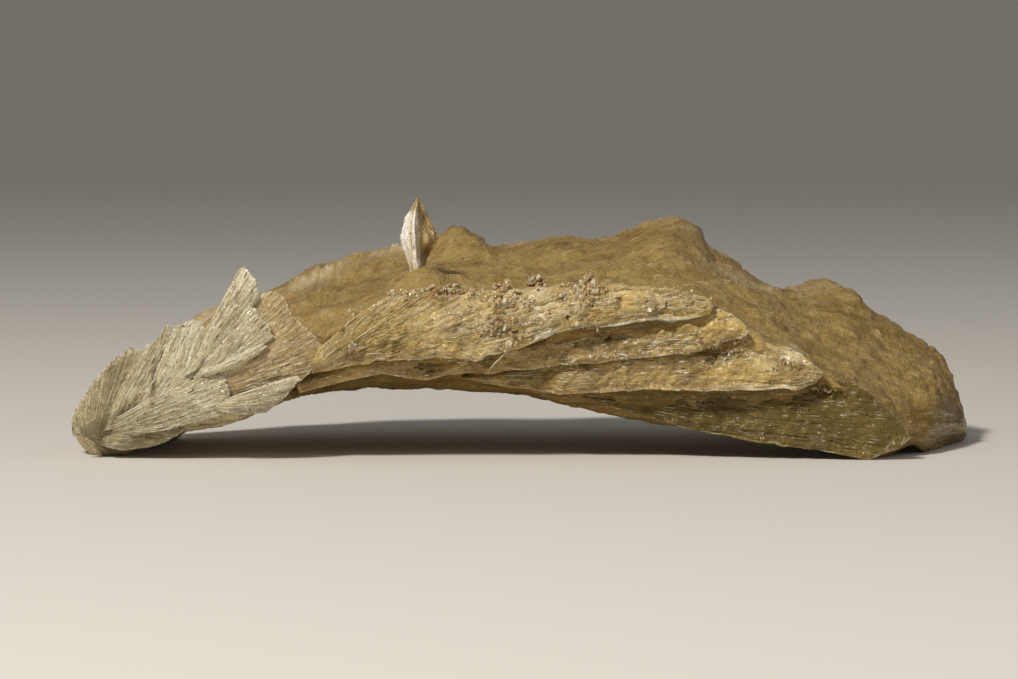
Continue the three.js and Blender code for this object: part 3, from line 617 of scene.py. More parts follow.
@dataclass(frozen=True)
class MineralFinish:
    """Finish of the mineral: silky fibres of one body colour, with pale, stained and gritty places, painted
    shade, painted glints and painted rim highlights.
    """

    name: str
    body: Colour = (0.50, 0.34, 0.105, 1)
    deep: Colour = (0.22, 0.125, 0.025, 1)
    pale: Colour = (0.88, 0.80, 0.58, 1)
    stain_and_shade: Colour = (0.15, 0.095, 0.02, 1)
    rust: Colour = (0.36, 0.12, 0.04, 1)
    soot: Colour = (0.012, 0.009, 0.006, 1)
    # colour of the painted glints and of the painted rim highlights
    flash: Colour = (1.0, 0.96, 0.86, 1)
    threads: float = 0.4
    gaps: float = 0.6
    # how many painted glints there are
    glints: float = 0.7
    roughness: float = 0.27
    see_in: float = 0.2
    coat: float = 0.2
    shine: float = 0.3
    streaks: float = 7.0
    streak_depth: float = 0.13
    grain_depth: float = 0.03

    def colour(
        self,
        sheet: Sheet,
        tones: dict[str, Socket],
        marks: dict[str, Socket],
        silk: Socket,
    ) -> Socket:
        """Base colour: the body's tints, then fibres, stains and painted shade, cracks, painted glints,
        specks and painted rim highlights laid over it.

        Args:
            sheet: the material's node sheet.
            tones: the tone attribute's channels.
            marks: the noises and the speck masks.
            silk: how fibrous the place is.

        Returns:
            The colour socket.
        """
        streak, coarse, hair, cloud = (marks[key] for key in ("streak", "coarse", "hair", "cloud"))
        colour = sheet.mix(sheet.times(sheet.ramp(cloud, 0.42, 0.62), 0.6), self.body, self.deep)
        colour = sheet.mix(sheet.times(sheet.ramp(coarse, 0.5, 0.66), 0.6), colour, self.deep)
        colour = sheet.mix(sheet.uneven(tones["pale"], coarse, 0.36, 0.52), colour, self.pale)
        # stains, and painted shade where the stain channel carries it
        colour = sheet.mix(sheet.uneven(tones["stain_and_shade"], coarse, 0.6, 0.42), colour, self.stain_and_shade)
        strength = sheet.plus(sheet.times(tones["pale"], 0.3), self.threads)
        thread = sheet.times(sheet.ramp(streak, 0.54, 0.66), strength)
        colour = sheet.mix(sheet.times(thread, silk), colour, self.pale)
        gap = sheet.times(sheet.ramp(streak, 0.46, 0.36), self.gaps)
        colour = sheet.mix(sheet.times(gap, silk), colour, self.deep)
        crack = sheet.times(sheet.ramp(hair, 0.42, 0.34), self.gaps)
        colour = sheet.mix(sheet.times(crack, silk), colour, self.stain_and_shade)
        colour = sheet.mix(marks["slit"], colour, self.stain_and_shade)
        # painted glints: short bright dashes along the fibres
        colour = sheet.mix(marks["glint"], colour, self.flash)
        colour = sheet.mix(marks["white"], colour, self.pale)
        colour = sheet.mix(marks["red"], colour, self.rust)
        colour = sheet.mix(marks["black"], colour, self.soot)
        # painted highlight along the rims
        rim = sheet.times(tones["rim"], sheet.ramp(marks["sand"], 0.42, 0.56))
        colour = sheet.mix(rim, colour, self.flash)
        shade = sheet.node("MapRange", None, Value=marks["sand"], i1=0.3, i2=0.7, i3=0.7, i4=1.25).outputs[0]
        grey = sheet.node("CombineColor", None, Red=shade, Green=shade, Blue=shade).outputs[0]
        return sheet.mix(1.0, colour, grey, "MULTIPLY")

    def build(self) -> Material:
        """Builds the material.

        The streaks are noise on the fibre coordinates, squeezed across the fibres and stretched along
        them. The painted glints and the slits are long thin cells on the same coordinates. The specks are
        small cells that a gritty place lets through.
        """
        sheet = Sheet(self.name)
        tone = sheet.node("Attribute", {"attribute_name": "tone"})
        split = sheet.node("SeparateColor", None, Color=tone.outputs["Color"])
        tones = dict(zip(("pale", "stain_and_shade", "grit"), split.outputs), rim=tone.outputs["Alpha"])
        texture = sheet.node("Attribute", {"attribute_name": "texture"}).outputs["Fac"]
        matt = sheet.math("MAXIMUM", texture, 0.0)
        wax = sheet.math("MAXIMUM", sheet.times(texture, -1.0), 0.0)
        plain = sheet.math("SUBTRACT", 1.0, matt)
        fibre = sheet.node("Attribute", {"attribute_name": "fibre"}).outputs["Vector"]
        place = sheet.node("TexCoord").outputs["Object"]
        smooth = sheet.times(sheet.ramp(sheet.noise(place, 650.0, 2.0), 0.42, 0.62), 0.65)
        covered = sheet.math("MAXIMUM", sheet.times(matt, 0.9), sheet.times(wax, 0.75))
        silk = sheet.math("SUBTRACT", 1.0, sheet.math("MAXIMUM", smooth, covered))

        cells = sheet.node("TexVoronoi", None, Vector=place, Scale=4600.0)
        pick = sheet.node("SeparateColor", None, Color=cells.outputs["Color"])
        dot = sheet.ramp(cells.outputs["Distance"], 0.55, 0.3)
        patchy = sheet.ramp(sheet.noise(place, 1500.0, 2.0), 0.46, 0.56)
        speck = sheet.times(dot, sheet.times(sheet.ramp(tones["grit"], 0.15, 0.75), patchy))
        rare = sheet.ramp(pick.outputs[1], 0.975, 0.985)
        pepper = sheet.times(sheet.ramp(cells.outputs["Distance"], 0.34, 0.2), rare)
        black = sheet.times(speck, sheet.ramp(pick.outputs[1], 0.9, 0.92))
        dashes = sheet.node("TexVoronoi", None, Vector=sheet.scaled(fibre, (8, 1, 1.6)), Scale=1.0)
        draw = sheet.node("SeparateColor", None, Color=dashes.outputs["Color"])
        dash = sheet.times(sheet.ramp(dashes.outputs["Distance"], 0.36, 0.2), plain)
        marks = {
            "coarse": sheet.noise(sheet.scaled(fibre, (self.streaks * 0.3, 1, 0.2)), 1.0, 2.0),
            "streak": sheet.noise(sheet.scaled(fibre, (self.streaks, 1, 0.4)), 1.0, 3.0, 0.6),
            "hair": sheet.noise(sheet.scaled(fibre, (self.streaks * 2.0, 1, 0.8)), 1.0, 2.0, 0.6),
            "cloud": sheet.noise(place, 420.0, 4.0, 0.6),
            "sand": sheet.noise(place, 7000.0, 3.0, 0.65),
            "red": sheet.times(speck, sheet.ramp(pick.outputs[0], 0.66, 0.72)),
            "white": sheet.times(speck, sheet.ramp(pick.outputs[2], 0.62, 0.72)),
            "black": sheet.math("MAXIMUM", black, pepper),
            "glint": sheet.times(dash, sheet.times(sheet.ramp(draw.outputs[0], 0.86, 0.9), self.glints)),
            "slit": sheet.times(dash, sheet.times(sheet.ramp(draw.outputs[1], 0.86, 0.9), 0.7)),
        }
        gloss = sheet.node(
            "MapRange", None, Value=marks["streak"], i1=0.35, i2=0.65,
            i3=self.roughness + 0.14, i4=self.roughness - 0.12,
        ).outputs[0]
        gloss = sheet.math("ADD", gloss, sheet.times(texture, 0.08), clamp=True)
        fibres = sheet.times(marks["streak"], self.streak_depth)
        threads = sheet.times(marks["hair"], self.streak_depth * 0.5)
        silky = sheet.times(sheet.plus(fibres, threads), silk)
        grains = sheet.times(marks["sand"], sheet.plus(sheet.times(matt, self.grain_depth), self.grain_depth))
        waves = sheet.times(sheet.noise(place, 1700.0, 2.0), sheet.times(wax, 0.05))
        tufts = sheet.noise(sheet.scaled(place, (1, 0.4, 1)), 1500.0, 4.0, 0.65)
        rough = sheet.plus(tufts, sheet.times(cells.outputs["Distance"], -0.25))
        facets = sheet.times(rough, sheet.times(matt, 0.22))
        height = sheet.plus(sheet.plus(silky, grains), sheet.times(speck, 0.06))
        height = sheet.plus(height, sheet.plus(waves, facets))
        height = sheet.plus(height, sheet.times(sheet.math("SUBTRACT", marks["glint"], marks["slit"]), 0.03))
        bump = sheet.node("Bump", None, Strength=1.0, Distance=MM, Height=height).outputs[0]
        coat = sheet.plus(sheet.times(plain, self.coat), sheet.times(wax, self.coat))
        depth = sheet.plus(sheet.times(wax, 0.25), self.see_in)
        shader = sheet.node(
            "BsdfPrincipled", {"subsurface_method": "RANDOM_WALK"},
            Base_Color=self.colour(sheet, tones, marks, silk),
            Roughness=gloss, IOR=1.52, Specular_IOR_Level=self.shine, Normal=bump, Subsurface_Weight=depth,
            Subsurface_Radius=(1.0, 0.72, 0.38), Subsurface_Scale=0.5 * MM,
            Coat_Weight=coat, Coat_Roughness=0.1, Coat_IOR=1.5,
        )
        sheet.tree.links.new(shader.outputs[0], sheet.output.inputs["Surface"])
        return sheet.material


@dataclass(frozen=True)
class Hollow:
    """A pit or a chip in the front, given by its middle, its radius and its depth in mm."""

    x: float
    z: float
    radius: float
    depth: float


HOLLOWS = (
    Hollow(5.1, 7.5, 0.2, 0.4), Hollow(-5.9, 5.65, 0.3, 0.3), Hollow(-6.6, 5.75, 0.2, 0.25),
    Hollow(-0.5, 10.2, 0.2, 0.35), Hollow(2.6, 8.9, 0.15, 0.3), Hollow(-1.5, 10.1, 0.14, 0.3),
    Hollow(-0.6, 7.9, 0.16, 0.3), Hollow(5.9, 9.95, 0.2, 0.25), Hollow(3.0, 7.1, 0.15, 0.25),
    Hollow(12.6, 7.15, 0.6, 0.35), Hollow(11.4, 6.75, 0.5, 0.35), Hollow(-2.6, 9.9, 0.16, 0.3),
    Hollow(18.4, 4.25, 0.5, 0.3), Hollow(19.4, 3.9, 0.4, 0.3), Hollow(7.3, 9.9, 0.1, 0.2),
)


def hollowed(points: Array) -> Array:
    """The points with those on the front pushed back where the hollows are.

    Formula: each hollow pushes by its depth times e to the minus the fourth power of the distance
    from its middle, in radii, after the places are shifted at random to make the outline ragged.

    Args:
        points: points in mm.

    Returns:
        The moved points.
    """
    x = points[..., 0] + 0.14 * rough_noise(points[..., 0] * 3, points[..., 2] * 3, seed=21)
    z = points[..., 2] + 0.1 * rough_noise(points[..., 0] * 3, points[..., 2] * 3, seed=22)
    push = np.zeros(x.shape)
    for hollow in HOLLOWS:
        near = ((x - hollow.x) ** 2 + (z - hollow.z) ** 2) / hollow.radius**2
        push = np.maximum(push, hollow.depth * np.exp(-(near**2)))
    moved = points.copy()
    moved[..., 1] += push * step(points[..., 1], -9.0, -10.0)
    return moved


@dataclass
class Crust:
    """The arched crust: a closed skin through the guide lines, with relief on all sides.

    A place among the guide lines is a number from 0 at the front edge, by way of the top, the back
    and the underside, to the number of lines at the front edge again. top_lines, matt_lines and
    front_end are such places. A mound is given by x, y, radius and height, a cloud by its tone, x, y,
    radius and amount.
    """

    columns: int = 470
    rows_per_line: tuple[int, ...] = (20, 22, 18, 14, 16, 18, 14, 6, 6, 8, 10, 10, 8)
    ripple_height: float = 0.28
    rib_height: float = 0.3
    rib_turns: int = 24
    rib_origin: Pair = (-13.5, -9.0)
    lath_height: float = 0.15
    lath_widths: Pair = (1.1, 0.5)
    lath_lengths: Pair = (7.0, 3.0)
    grain_height: float = 0.3
    grain_widths: Pair = (0.9, 0.42)
    top_lines: Pair = (3.5, 7.5)
    matt_lines: tuple[float, float, float, float] = (2.9, 3.6, 8.2, 9.2)
    front_end: float = 12.7
    toe_radius: float = 9.0
    root_radius: float = 25.0
    mounds: tuple[tuple[float, float, float, float], ...] = (
        (-14, 3, 2.4, 0.5), (-10.5, 8, 1.9, 0.6), (-17.5, 7.5, 2, 0.5), (-20, 1, 2.2, 0.4),
        (-3, 9, 2.2, 0.5), (-1, 2.5, 1.9, 0.4), (2.5, 9.6, 2.4, 0.5), (5, 3, 2, 0.5), (9.5, 8, 2.2, 0.5),
        (10.5, -4, 2.2, 0.5), (14.8, -4, 1.7, 0.6), (15.5, 3.5, 2.2, 0.5), (16.9, 9, 1.5, 0.6),
        (20.4, 3.2, 1.6, 0.6), (22.3, 10, 1.7, 0.6), (24.1, 6.5, 1.5, 0.6), (26.1, 4.5, 1.3, 0.5),
        (-7, 3.5, 2, 0.4), (-6.8, -3.1, 1.3, 0.5),
    )
    clouds: tuple[tuple[Tone, float, float, float, float], ...] = (
        (Tone.STAIN_AND_SHADE, -3.2, 12, 2.4, 0.35), (Tone.STAIN_AND_SHADE, 8.5, 12, 3.5, 0.25), (Tone.PALE, 11, 14, 1.6, 0.5),
        (Tone.PALE, -14, 10, 2.2, 0.6), (Tone.PALE, -8.5, 12, 1.8, 0.6), (Tone.STAIN_AND_SHADE, 2, 10, 3, 0.3),
        (Tone.PALE, 14.5, 8, 2, 0.3), (Tone.PALE, 19, 12, 1.5, 0.3), (Tone.PALE, -21, 6, 3.2, 0.7),
        (Tone.STAIN_AND_SHADE, 24, 8, 5, 0.3), (Tone.STAIN_AND_SHADE, -11, 3, 3.5, 0.3),
    )
    points: Array = field(init=False)
    normals: Array = field(init=False)
    middle: Array = field(init=False)
    texture: Array = field(init=False)
    grains: Array = field(init=False)

    def knots(self, x: Array) -> Array:
        """Guide lines at each x: a cubic whose slope at a point comes from its two neighbours.

        Args:
            x: the places along the specimen.

        Returns:
            Points in an array of places, guide lines and coordinates.
        """
        lines = []
        for line in Line:
            knots = np.array(line.value, float)
            before = np.vstack([knots[:1], knots[:-1]])
            after = np.vstack([knots[1:], knots[-1:]])
            slopes = (after[:, 1:] - before[:, 1:]) / (after[:, :1] - before[:, :1])
            i = np.clip(np.searchsorted(knots[:, 0], x, side="right") - 1, 0, len(knots) - 2)
            span = knots[i + 1, 0] - knots[i, 0]
            s = np.clip((x - knots[i, 0]) / span, 0, 1)[:, None]
            low, high = knots[i, 1:], knots[i + 1, 1:]
            rise, fall = slopes[i] * span[:, None], slopes[i + 1] * span[:, None]
            value = (2 * s**3 - 3 * s**2 + 1) * low + (s**3 - 2 * s**2 + s) * rise
            value = value + (3 * s**2 - 2 * s**3) * high + (s**3 - s**2) * fall
            lines.append(np.column_stack([x, value]))
        return np.stack(lines, axis=1)

    def skin(self) -> tuple[Array, Array]:
        """Rings of points on the smooth skin and each point's place among the guide lines.

        Formula: between two guide lines the section is a cubic whose slope at a line is half the
        step from the line before it to the line after it.

        Returns:
            The points and the places.
        """
        s = np.linspace(0, 1, self.columns)
        eased = (1 + 0.7 * (2 * s - 1) - 0.3 * np.cos(np.pi * s)) / 2
        knots = self.knots(TOE_END + (RIGHT_END - TOE_END) * eased)
        place = np.concatenate([i + np.arange(n) / n for i, n in enumerate(self.rows_per_line)])
        i = np.floor(place).astype(int)
        t = (place - i)[None, :, None]
        count = len(self.rows_per_line)
        a, b, c, d = (knots[:, (i + k) % count] for k in (-1, 0, 1, 2))
        square, cube = 2 * a - 5 * b + 4 * c - d, 3 * b - a - 3 * c + d
        curve = 0.5 * (2 * b + (c - a) * t + square * t**2 + cube * t**3)
        self.middle = knots.mean(axis=1)[:, None, :]
        return curve, np.broadcast_to(place, curve.shape[:2])

    def broad_relief(self, points: Array, place: Array, on_top: Array) -> Array:
        """Height of the solid's own undulation and ribs, outwards, calmer at the front edge.

        Formula: a rib is a triangle wave of the angle about the ribs' origin.

        Args:
            points: points of the smooth skin.
            place: their places among the guide lines.
            on_top: where the top surface is, which has no ribs.

        Returns:
            One height for each point, in mm.
        """
        x, y, z = np.moveaxis(points, -1, 0)
        ripple = ripple_at(x, y, z)
        turn = self.rib_turns * np.arctan2(y - self.rib_origin[1], x - self.rib_origin[0])
        rib = 2 / np.pi * np.arcsin(np.sin(turn + 0.8 * ripple_at(x / 2, y / 2, 0 * z)))
        calm = 0.25 + 0.75 * step(np.minimum(place, len(Line) - place), 0.0, 0.9)
        return calm * (self.ripple_height * ripple + np.where(on_top, 0, self.rib_height * rib))

    def fibre_coordinates(self, points: Array, place: Array) -> Array:
        """Across, layer and along coordinates of the fibres, in mm.

        Formula: the angle about the fibres' origin, taken upright on the front and in plan elsewhere,
        times a radius, and the distance from that origin. The toe has an origin and a radius of its own.

        Args:
            points: points of the crust.
            place: their places among the guide lines.

        Returns:
            Three coordinates for each point.
        """
        left = points[..., 0] < SPRAY_SPLIT
        origin = np.where(left[..., None], TOE_ORIGIN, ROOT_ORIGIN)
        rel = points - origin
        front = (place < self.top_lines[0]) | (place > self.front_end)
        angle = np.where(front, np.arctan2(rel[..., 2], rel[..., 0]), np.arctan2(rel[..., 1], rel[..., 0]))
        reach = np.linalg.norm(rel, axis=-1)
        layer = 3.0 * front + 7.0 * left + 0.15 * rel[..., 1]
        radius = np.where(left, self.toe_radius, self.root_radius)
        return np.stack([radius * angle, layer, reach], axis=-1)

    def shape(self) -> tuple[Array, Array]:
        """The finished rings of points and their fibre coordinates.

        Formula: the smooth skin, moved outwards by the broad relief and the mounds, then along its own
        normals by laths where it is fibrous and by grains where it is matt.

        Returns:
            The points and the coordinates.
        """
        points, place = self.skin()
        on_top = (place > self.top_lines[0]) & (place < self.top_lines[1])
        outward = points - self.middle
        length = np.linalg.norm(outward, axis=-1)
        room = np.clip(length - 1, 0, 1)
        relief = self.broad_relief(points, place, on_top)
        mound = sum(high * bell(points, PLAN, (x, y), (size, size)) for x, y, size, high in self.mounds)
        lifted = points + outward / np.maximum(length, 1e-6)[..., None] * (room * relief)[..., None]
        lifted[..., 2] += np.where(on_top, room * mound, 0)
        fibres = self.fibre_coordinates(lifted, place)
        across, along = fibres[..., 0], fibres[..., 2]
        x, y, z = np.moveaxis(lifted, -1, 0)
        (wide, narrow), (long, short) = self.lath_widths, self.lath_lengths
        splinters = laths(across / wide, along / long, 1) + 0.5 * laths(across / narrow, along / short, 2)
        big, small = self.grain_widths
        grains = pebbles(x / big, y / big, z / big, 4) + 0.6 * pebbles(x / small, y / small, z / small, 5)
        matt_from, matt_full, matt_still, matt_to = self.matt_lines
        matt = step(place, matt_from, matt_full) * step(place, matt_to, matt_still)
        edge = step(np.minimum(place, len(Line) - place), 0.1, 0.7)
        fine = (1 - matt) * edge * self.lath_height * (splinters - 0.8)
        fine = fine + matt * self.grain_height * (grains - 0.6)
        fine = fine + 0.05 * rough_noise(x * 2, y * 2, z * 2, octaves=3, seed=9)
        patchy = 0.65 + 0.3 * rough_noise(x * 0.5, y * 0.5, z * 0.5, seed=12)
        glassy = step(x, -15.0, -11.0) * step(x, 24.0, 20.0) * patchy
        self.texture = matt - (1 - matt) * np.clip(glassy, 0, 1)
        self.grains = matt * grains
        self.normals = grid_normals(lifted)
        self.points = hollowed(lifted + self.normals * (room * fine)[..., None])
        return self.points, fibres

    def build(self, finish: MineralFinish) -> Object:
        """Builds the crust as one closed piece.

        Args:
            finish: the crust's finish.

        Returns:
            The new object.
        """
        points, fibres = self.shape()
        tones = tones_at(points, (0.1, 0.1, 0.0))
        matt = np.maximum(self.texture, 0)
        # pale on the left part, and on the tops of the grains a painted highlight
        left = step(points[..., 0], -13.0, -19.0) * (1 - matt)
        pale = np.maximum(0.75 * left, 0.55 * step(self.grains, 1.0, 1.5))
        tones[..., Tone.PALE.value] = np.maximum(tones[..., Tone.PALE.value], pale)
        # painted shade on the faces that look down, fading out towards the toe
        painted_shade_below = step(self.normals[..., 2], 0.2, -0.4) * step(points[..., 0], -18.0, -12.0)
        # darker in the hollows between the grains: painted shade
        hollows = matt * (0.3 + 0.5 * step(self.grains, 0.7, 0.2))
        painted_shade = np.maximum(0.85 * painted_shade_below, hollows)
        tones[..., Tone.STAIN_AND_SHADE.value] = np.maximum(tones[..., Tone.STAIN_AND_SHADE.value], painted_shade)
        for tone, x, y, size, amount in self.clouds:
            tones[..., tone.value] += amount * matt * bell(points, PLAN, (x, y), (size, size))
        # painted shade near the base at the right end; pale is taken out of all painted shade
        low = step(points[..., 0], 22.0, 25.0) * step(points[..., 2], 4.5, 2.0)
        tones[..., Tone.STAIN_AND_SHADE.value] = np.maximum(tones[..., Tone.STAIN_AND_SHADE.value], low)
        tones[..., Tone.PALE.value] *= 1 - 0.9 * np.maximum(low, painted_shade_below)
        faces = loft_faces(*points.shape[:2])
        return make_piece("crust", points, faces, tones, fibres, finish.build(), self.texture)


def ripple_at(x: Array, y: Array, z: Array) -> Array:
    """Broad undulation between -1 and 1: three products of sines, the same as the solid has.

    Args:
        x, y, z: the coordinates in mm.

    Returns:
        An array of heights.
    """
    return (
        0.4 * np.sin(0.9 * x + 1.7 * z) * np.cos(0.8 * y - 0.5 * x)
        + 0.35 * np.sin(1.9 * y + 0.7 * x + 2) * np.cos(1.3 * x - z)
        + 0.25 * np.sin(2.6 * x - 1.1 * y) * np.sin(2.2 * y + 1.4 * z)
    )


def along_line(line: Outline, share: Array) -> Array:
    """Points at the given shares of a polyline's length.

    Args:
        line: the corners (x, z).
        share: shares from 0 to 1.

    Returns:
        One point (x, z) for each share.
    """
    knots = np.array(line, float)
    lengths = np.concatenate([[0], np.cumsum(np.linalg.norm(np.diff(knots, axis=0), axis=1))])
    return np.stack([np.interp(share * lengths[-1], lengths, knots[:, k]) for k in (0, 1)], axis=-1)


@dataclass
class Blade:
    """One blade of crystal, given by its outline in (x, z) as seen from the front.

    The upper and lower edges run from the root to the tips, and the tips run from the lower edge's
    end to the upper edge's end. y is the front of the root, lean is how far the tips stand behind
    it, crown is the bulge, lip is the share of the bulge that the lower edge keeps, and sink is how
    far the root runs back into the crust.
    """

    name: str
    y: float
    lean: float
    thick: float
    crown: float
    upper: Outline
    lower: Outline
    tips: Outline
    tone: Triple = (0.5, 0.05, 0.0)
    lip: float = 0.0
    sink: float = 0.0
    laths_across: float = 24.0
    laths_along: float = 2.2
    relief: float = 0.07
    lumps: float = 0.08
    wax: float = 0.0
    uneven: float = 0.0
    ragged: float = 0.02
    # strength of the painted highlight along the outline
    rim: float = 0.4
    origin: Pair | None = None
    seed: int = 0
    across: int = 96
    along: int = 80
    edge: float = 0.06
    front: Array = field(init=False)
    texture: Array = field(init=False)

    def outline_points(self, u: Array, t: Array) -> Array:
        """Points (x, z) inside the outline at u across and t along.

        Formula: the four edges blended across and along, less the blend of the four corners.

        Args:
            u: shares from the upper edge, 0, to the lower edge, 1.
            t: shares from the root, 0, to the tips, 1.

        Returns:
            Points (x, z).
        """
        top, bottom = along_line(self.upper, t), along_line(self.lower, t)
        tip = along_line(self.tips[::-1], u)
        u, t = u[..., None], t[..., None]
        tips = (1 - u) * np.array(self.upper[-1]) + u * np.array(self.lower[-1])
        return (1 - u) * top + u * bottom + t * (tip - tips)

    def fibre_places(
        self, flat: Array, across: Array, along: Array
    ) -> tuple[Array, Array]:
        """Distances in mm across and along the fibres.

        Formula: where the blade has an origin of its own, the fibres spread from it in straight lines.
        The first number is then the angle about it times the mean distance, the second the distance.

        Args:
            flat: the blade's points (x, z).
            across: distance across the blade.
            along: distance along the blade.

        Returns:
            The two distances.
        """
        if self.origin is None:
            return across, along
        away = flat - np.array(self.origin)
        reach = np.linalg.norm(away, axis=-1)
        return reach.mean() * np.arctan2(away[..., 1], away[..., 0]), reach

    def shape(self) -> tuple[Array, Array, Array]:
        """Rings of points from root to tips, their fibre coordinates and their nearness to the rim, which
        sets a painted highlight.

        Formula: the front stands before the face by a sine across, which is the crown, and by three
        sizes of laths. The back stands behind the face by a thickness that falls to nothing at the
        edges and the tips. Each ring runs over the front and comes back over the back.

        Returns:
            The points, the coordinates and the nearness from 0 to 1.
        """
        t = np.linspace(0, 1, self.along + 1) ** 0.85
        u = np.linspace(0, 1, self.across + 1)
        t, u = np.meshgrid(t, u, indexing="ij")
        row = np.floor(u * self.laths_across * 0.7 + 0.4 * smooth_noise(u * 9, seed=self.seed))
        notch = cell_value(row, seed=self.seed + 11)
        notch = notch + 0.4 * cell_value(np.floor(u * 60), seed=self.seed + 12)
        flat = self.outline_points(u, t * (1 - self.ragged * notch * t**3))
        bent = [rough_noise(flat[..., 0] * 0.9, flat[..., 1] * 0.9, seed=self.seed + 70 + k) for k in (0, 1)]
        flat = flat + self.uneven * step(t, 0.0, 0.1)[..., None] * np.stack(bent, axis=-1)
        length = np.linalg.norm(np.diff(np.array(self.upper), axis=0), axis=1).sum()
        width = np.linalg.norm(flat[:, 0] - flat[:, -1], axis=-1)[:, None]
        side, reach = self.fibre_places(flat, u * width.mean(), t * length)
        spread, pieces = side * self.laths_across / width.mean(), reach * self.laths_along / length
        bundle = 0.8 * laths(spread * 0.45, pieces, self.seed)
        bundle = bundle + 0.6 * laths(spread, pieces * 2.2, self.seed + 20)
        bundle = bundle + 0.25 * laths(spread * 2.3, pieces * 4, self.seed + 40)
        patchy = rough_noise(flat[..., 0] * 0.6, flat[..., 1] * 0.9, seed=self.seed)
        wax = np.clip(self.wax * (1.0 + 0.7 * patchy), 0, 1)
        bundle = (bundle - 0.6) * (1 - 0.75 * wax) * (0.35 + 0.65 * step(patchy, 0.6, -0.5))
        near = np.minimum(np.minimum(u, 1 - u) * width, (1 - t) * length)
        calm = step(near, 0.0, 0.35) * step(t, 0, 0.12)
        face = self.y + self.lean * t + self.sink * (1 - step(t, 0.0, 0.3))
        profile = np.sin(np.pi * u) * (1 - self.lip) + self.lip * np.sin(np.pi * 0.5 * np.minimum(1.6 * u, 1))
        front = face - self.crown * profile * (1 - 0.55 * t**8) - self.relief * bundle * (0.3 + 0.7 * calm)
        bumpy = rough_noise(flat[..., 0] * 1.3, flat[..., 1] * 1.3, seed=self.seed + 60)
        front = front - self.lumps * calm * bumpy
        depth = self.thick * (1 - 0.6 * t) * (1 - np.abs(2 * u - 1)) * (1 - 0.92 * t**6)
        back = np.maximum(face + depth, front + self.edge)
        columns = np.concatenate([np.arange(self.across + 1), np.arange(self.across, -1, -BACK_STRIDE)])
        depth_at = np.where(np.arange(len(columns)) > self.across, back[:, columns], front[:, columns])
        rings = np.stack([flat[:, columns, 0], depth_at, flat[:, columns, 1]], -1)
        fibres = np.stack([side, 0 * u + 11 * self.seed, reach], -1)
        # painted highlight along the outline, away from the root
        rim = np.exp(-((near / 0.1) ** 2)) * step(t, 0.1, 0.3)
        rings = hollowed(rings)
        self.front = rings[:, : self.across + 1]
        self.texture = -wax[:, columns]
        return rings, fibres[:, columns], rim[:, columns]

    def build(self, finish: Material) -> Object:
        """Builds the blade as one closed piece.

        Args:
            finish: the blade's finish.

        Returns:
            The new object.
        """
        rings, fibres, rim = self.shape()
        tones = tones_at(rings, self.tone)
        tones[..., Tone.RIM_HIGHLIGHT.value] = self.rim * rim
        faces = blade_faces(len(rings), self.across)
        return make_piece(self.name, rings, faces, tones, fibres, finish, self.texture)


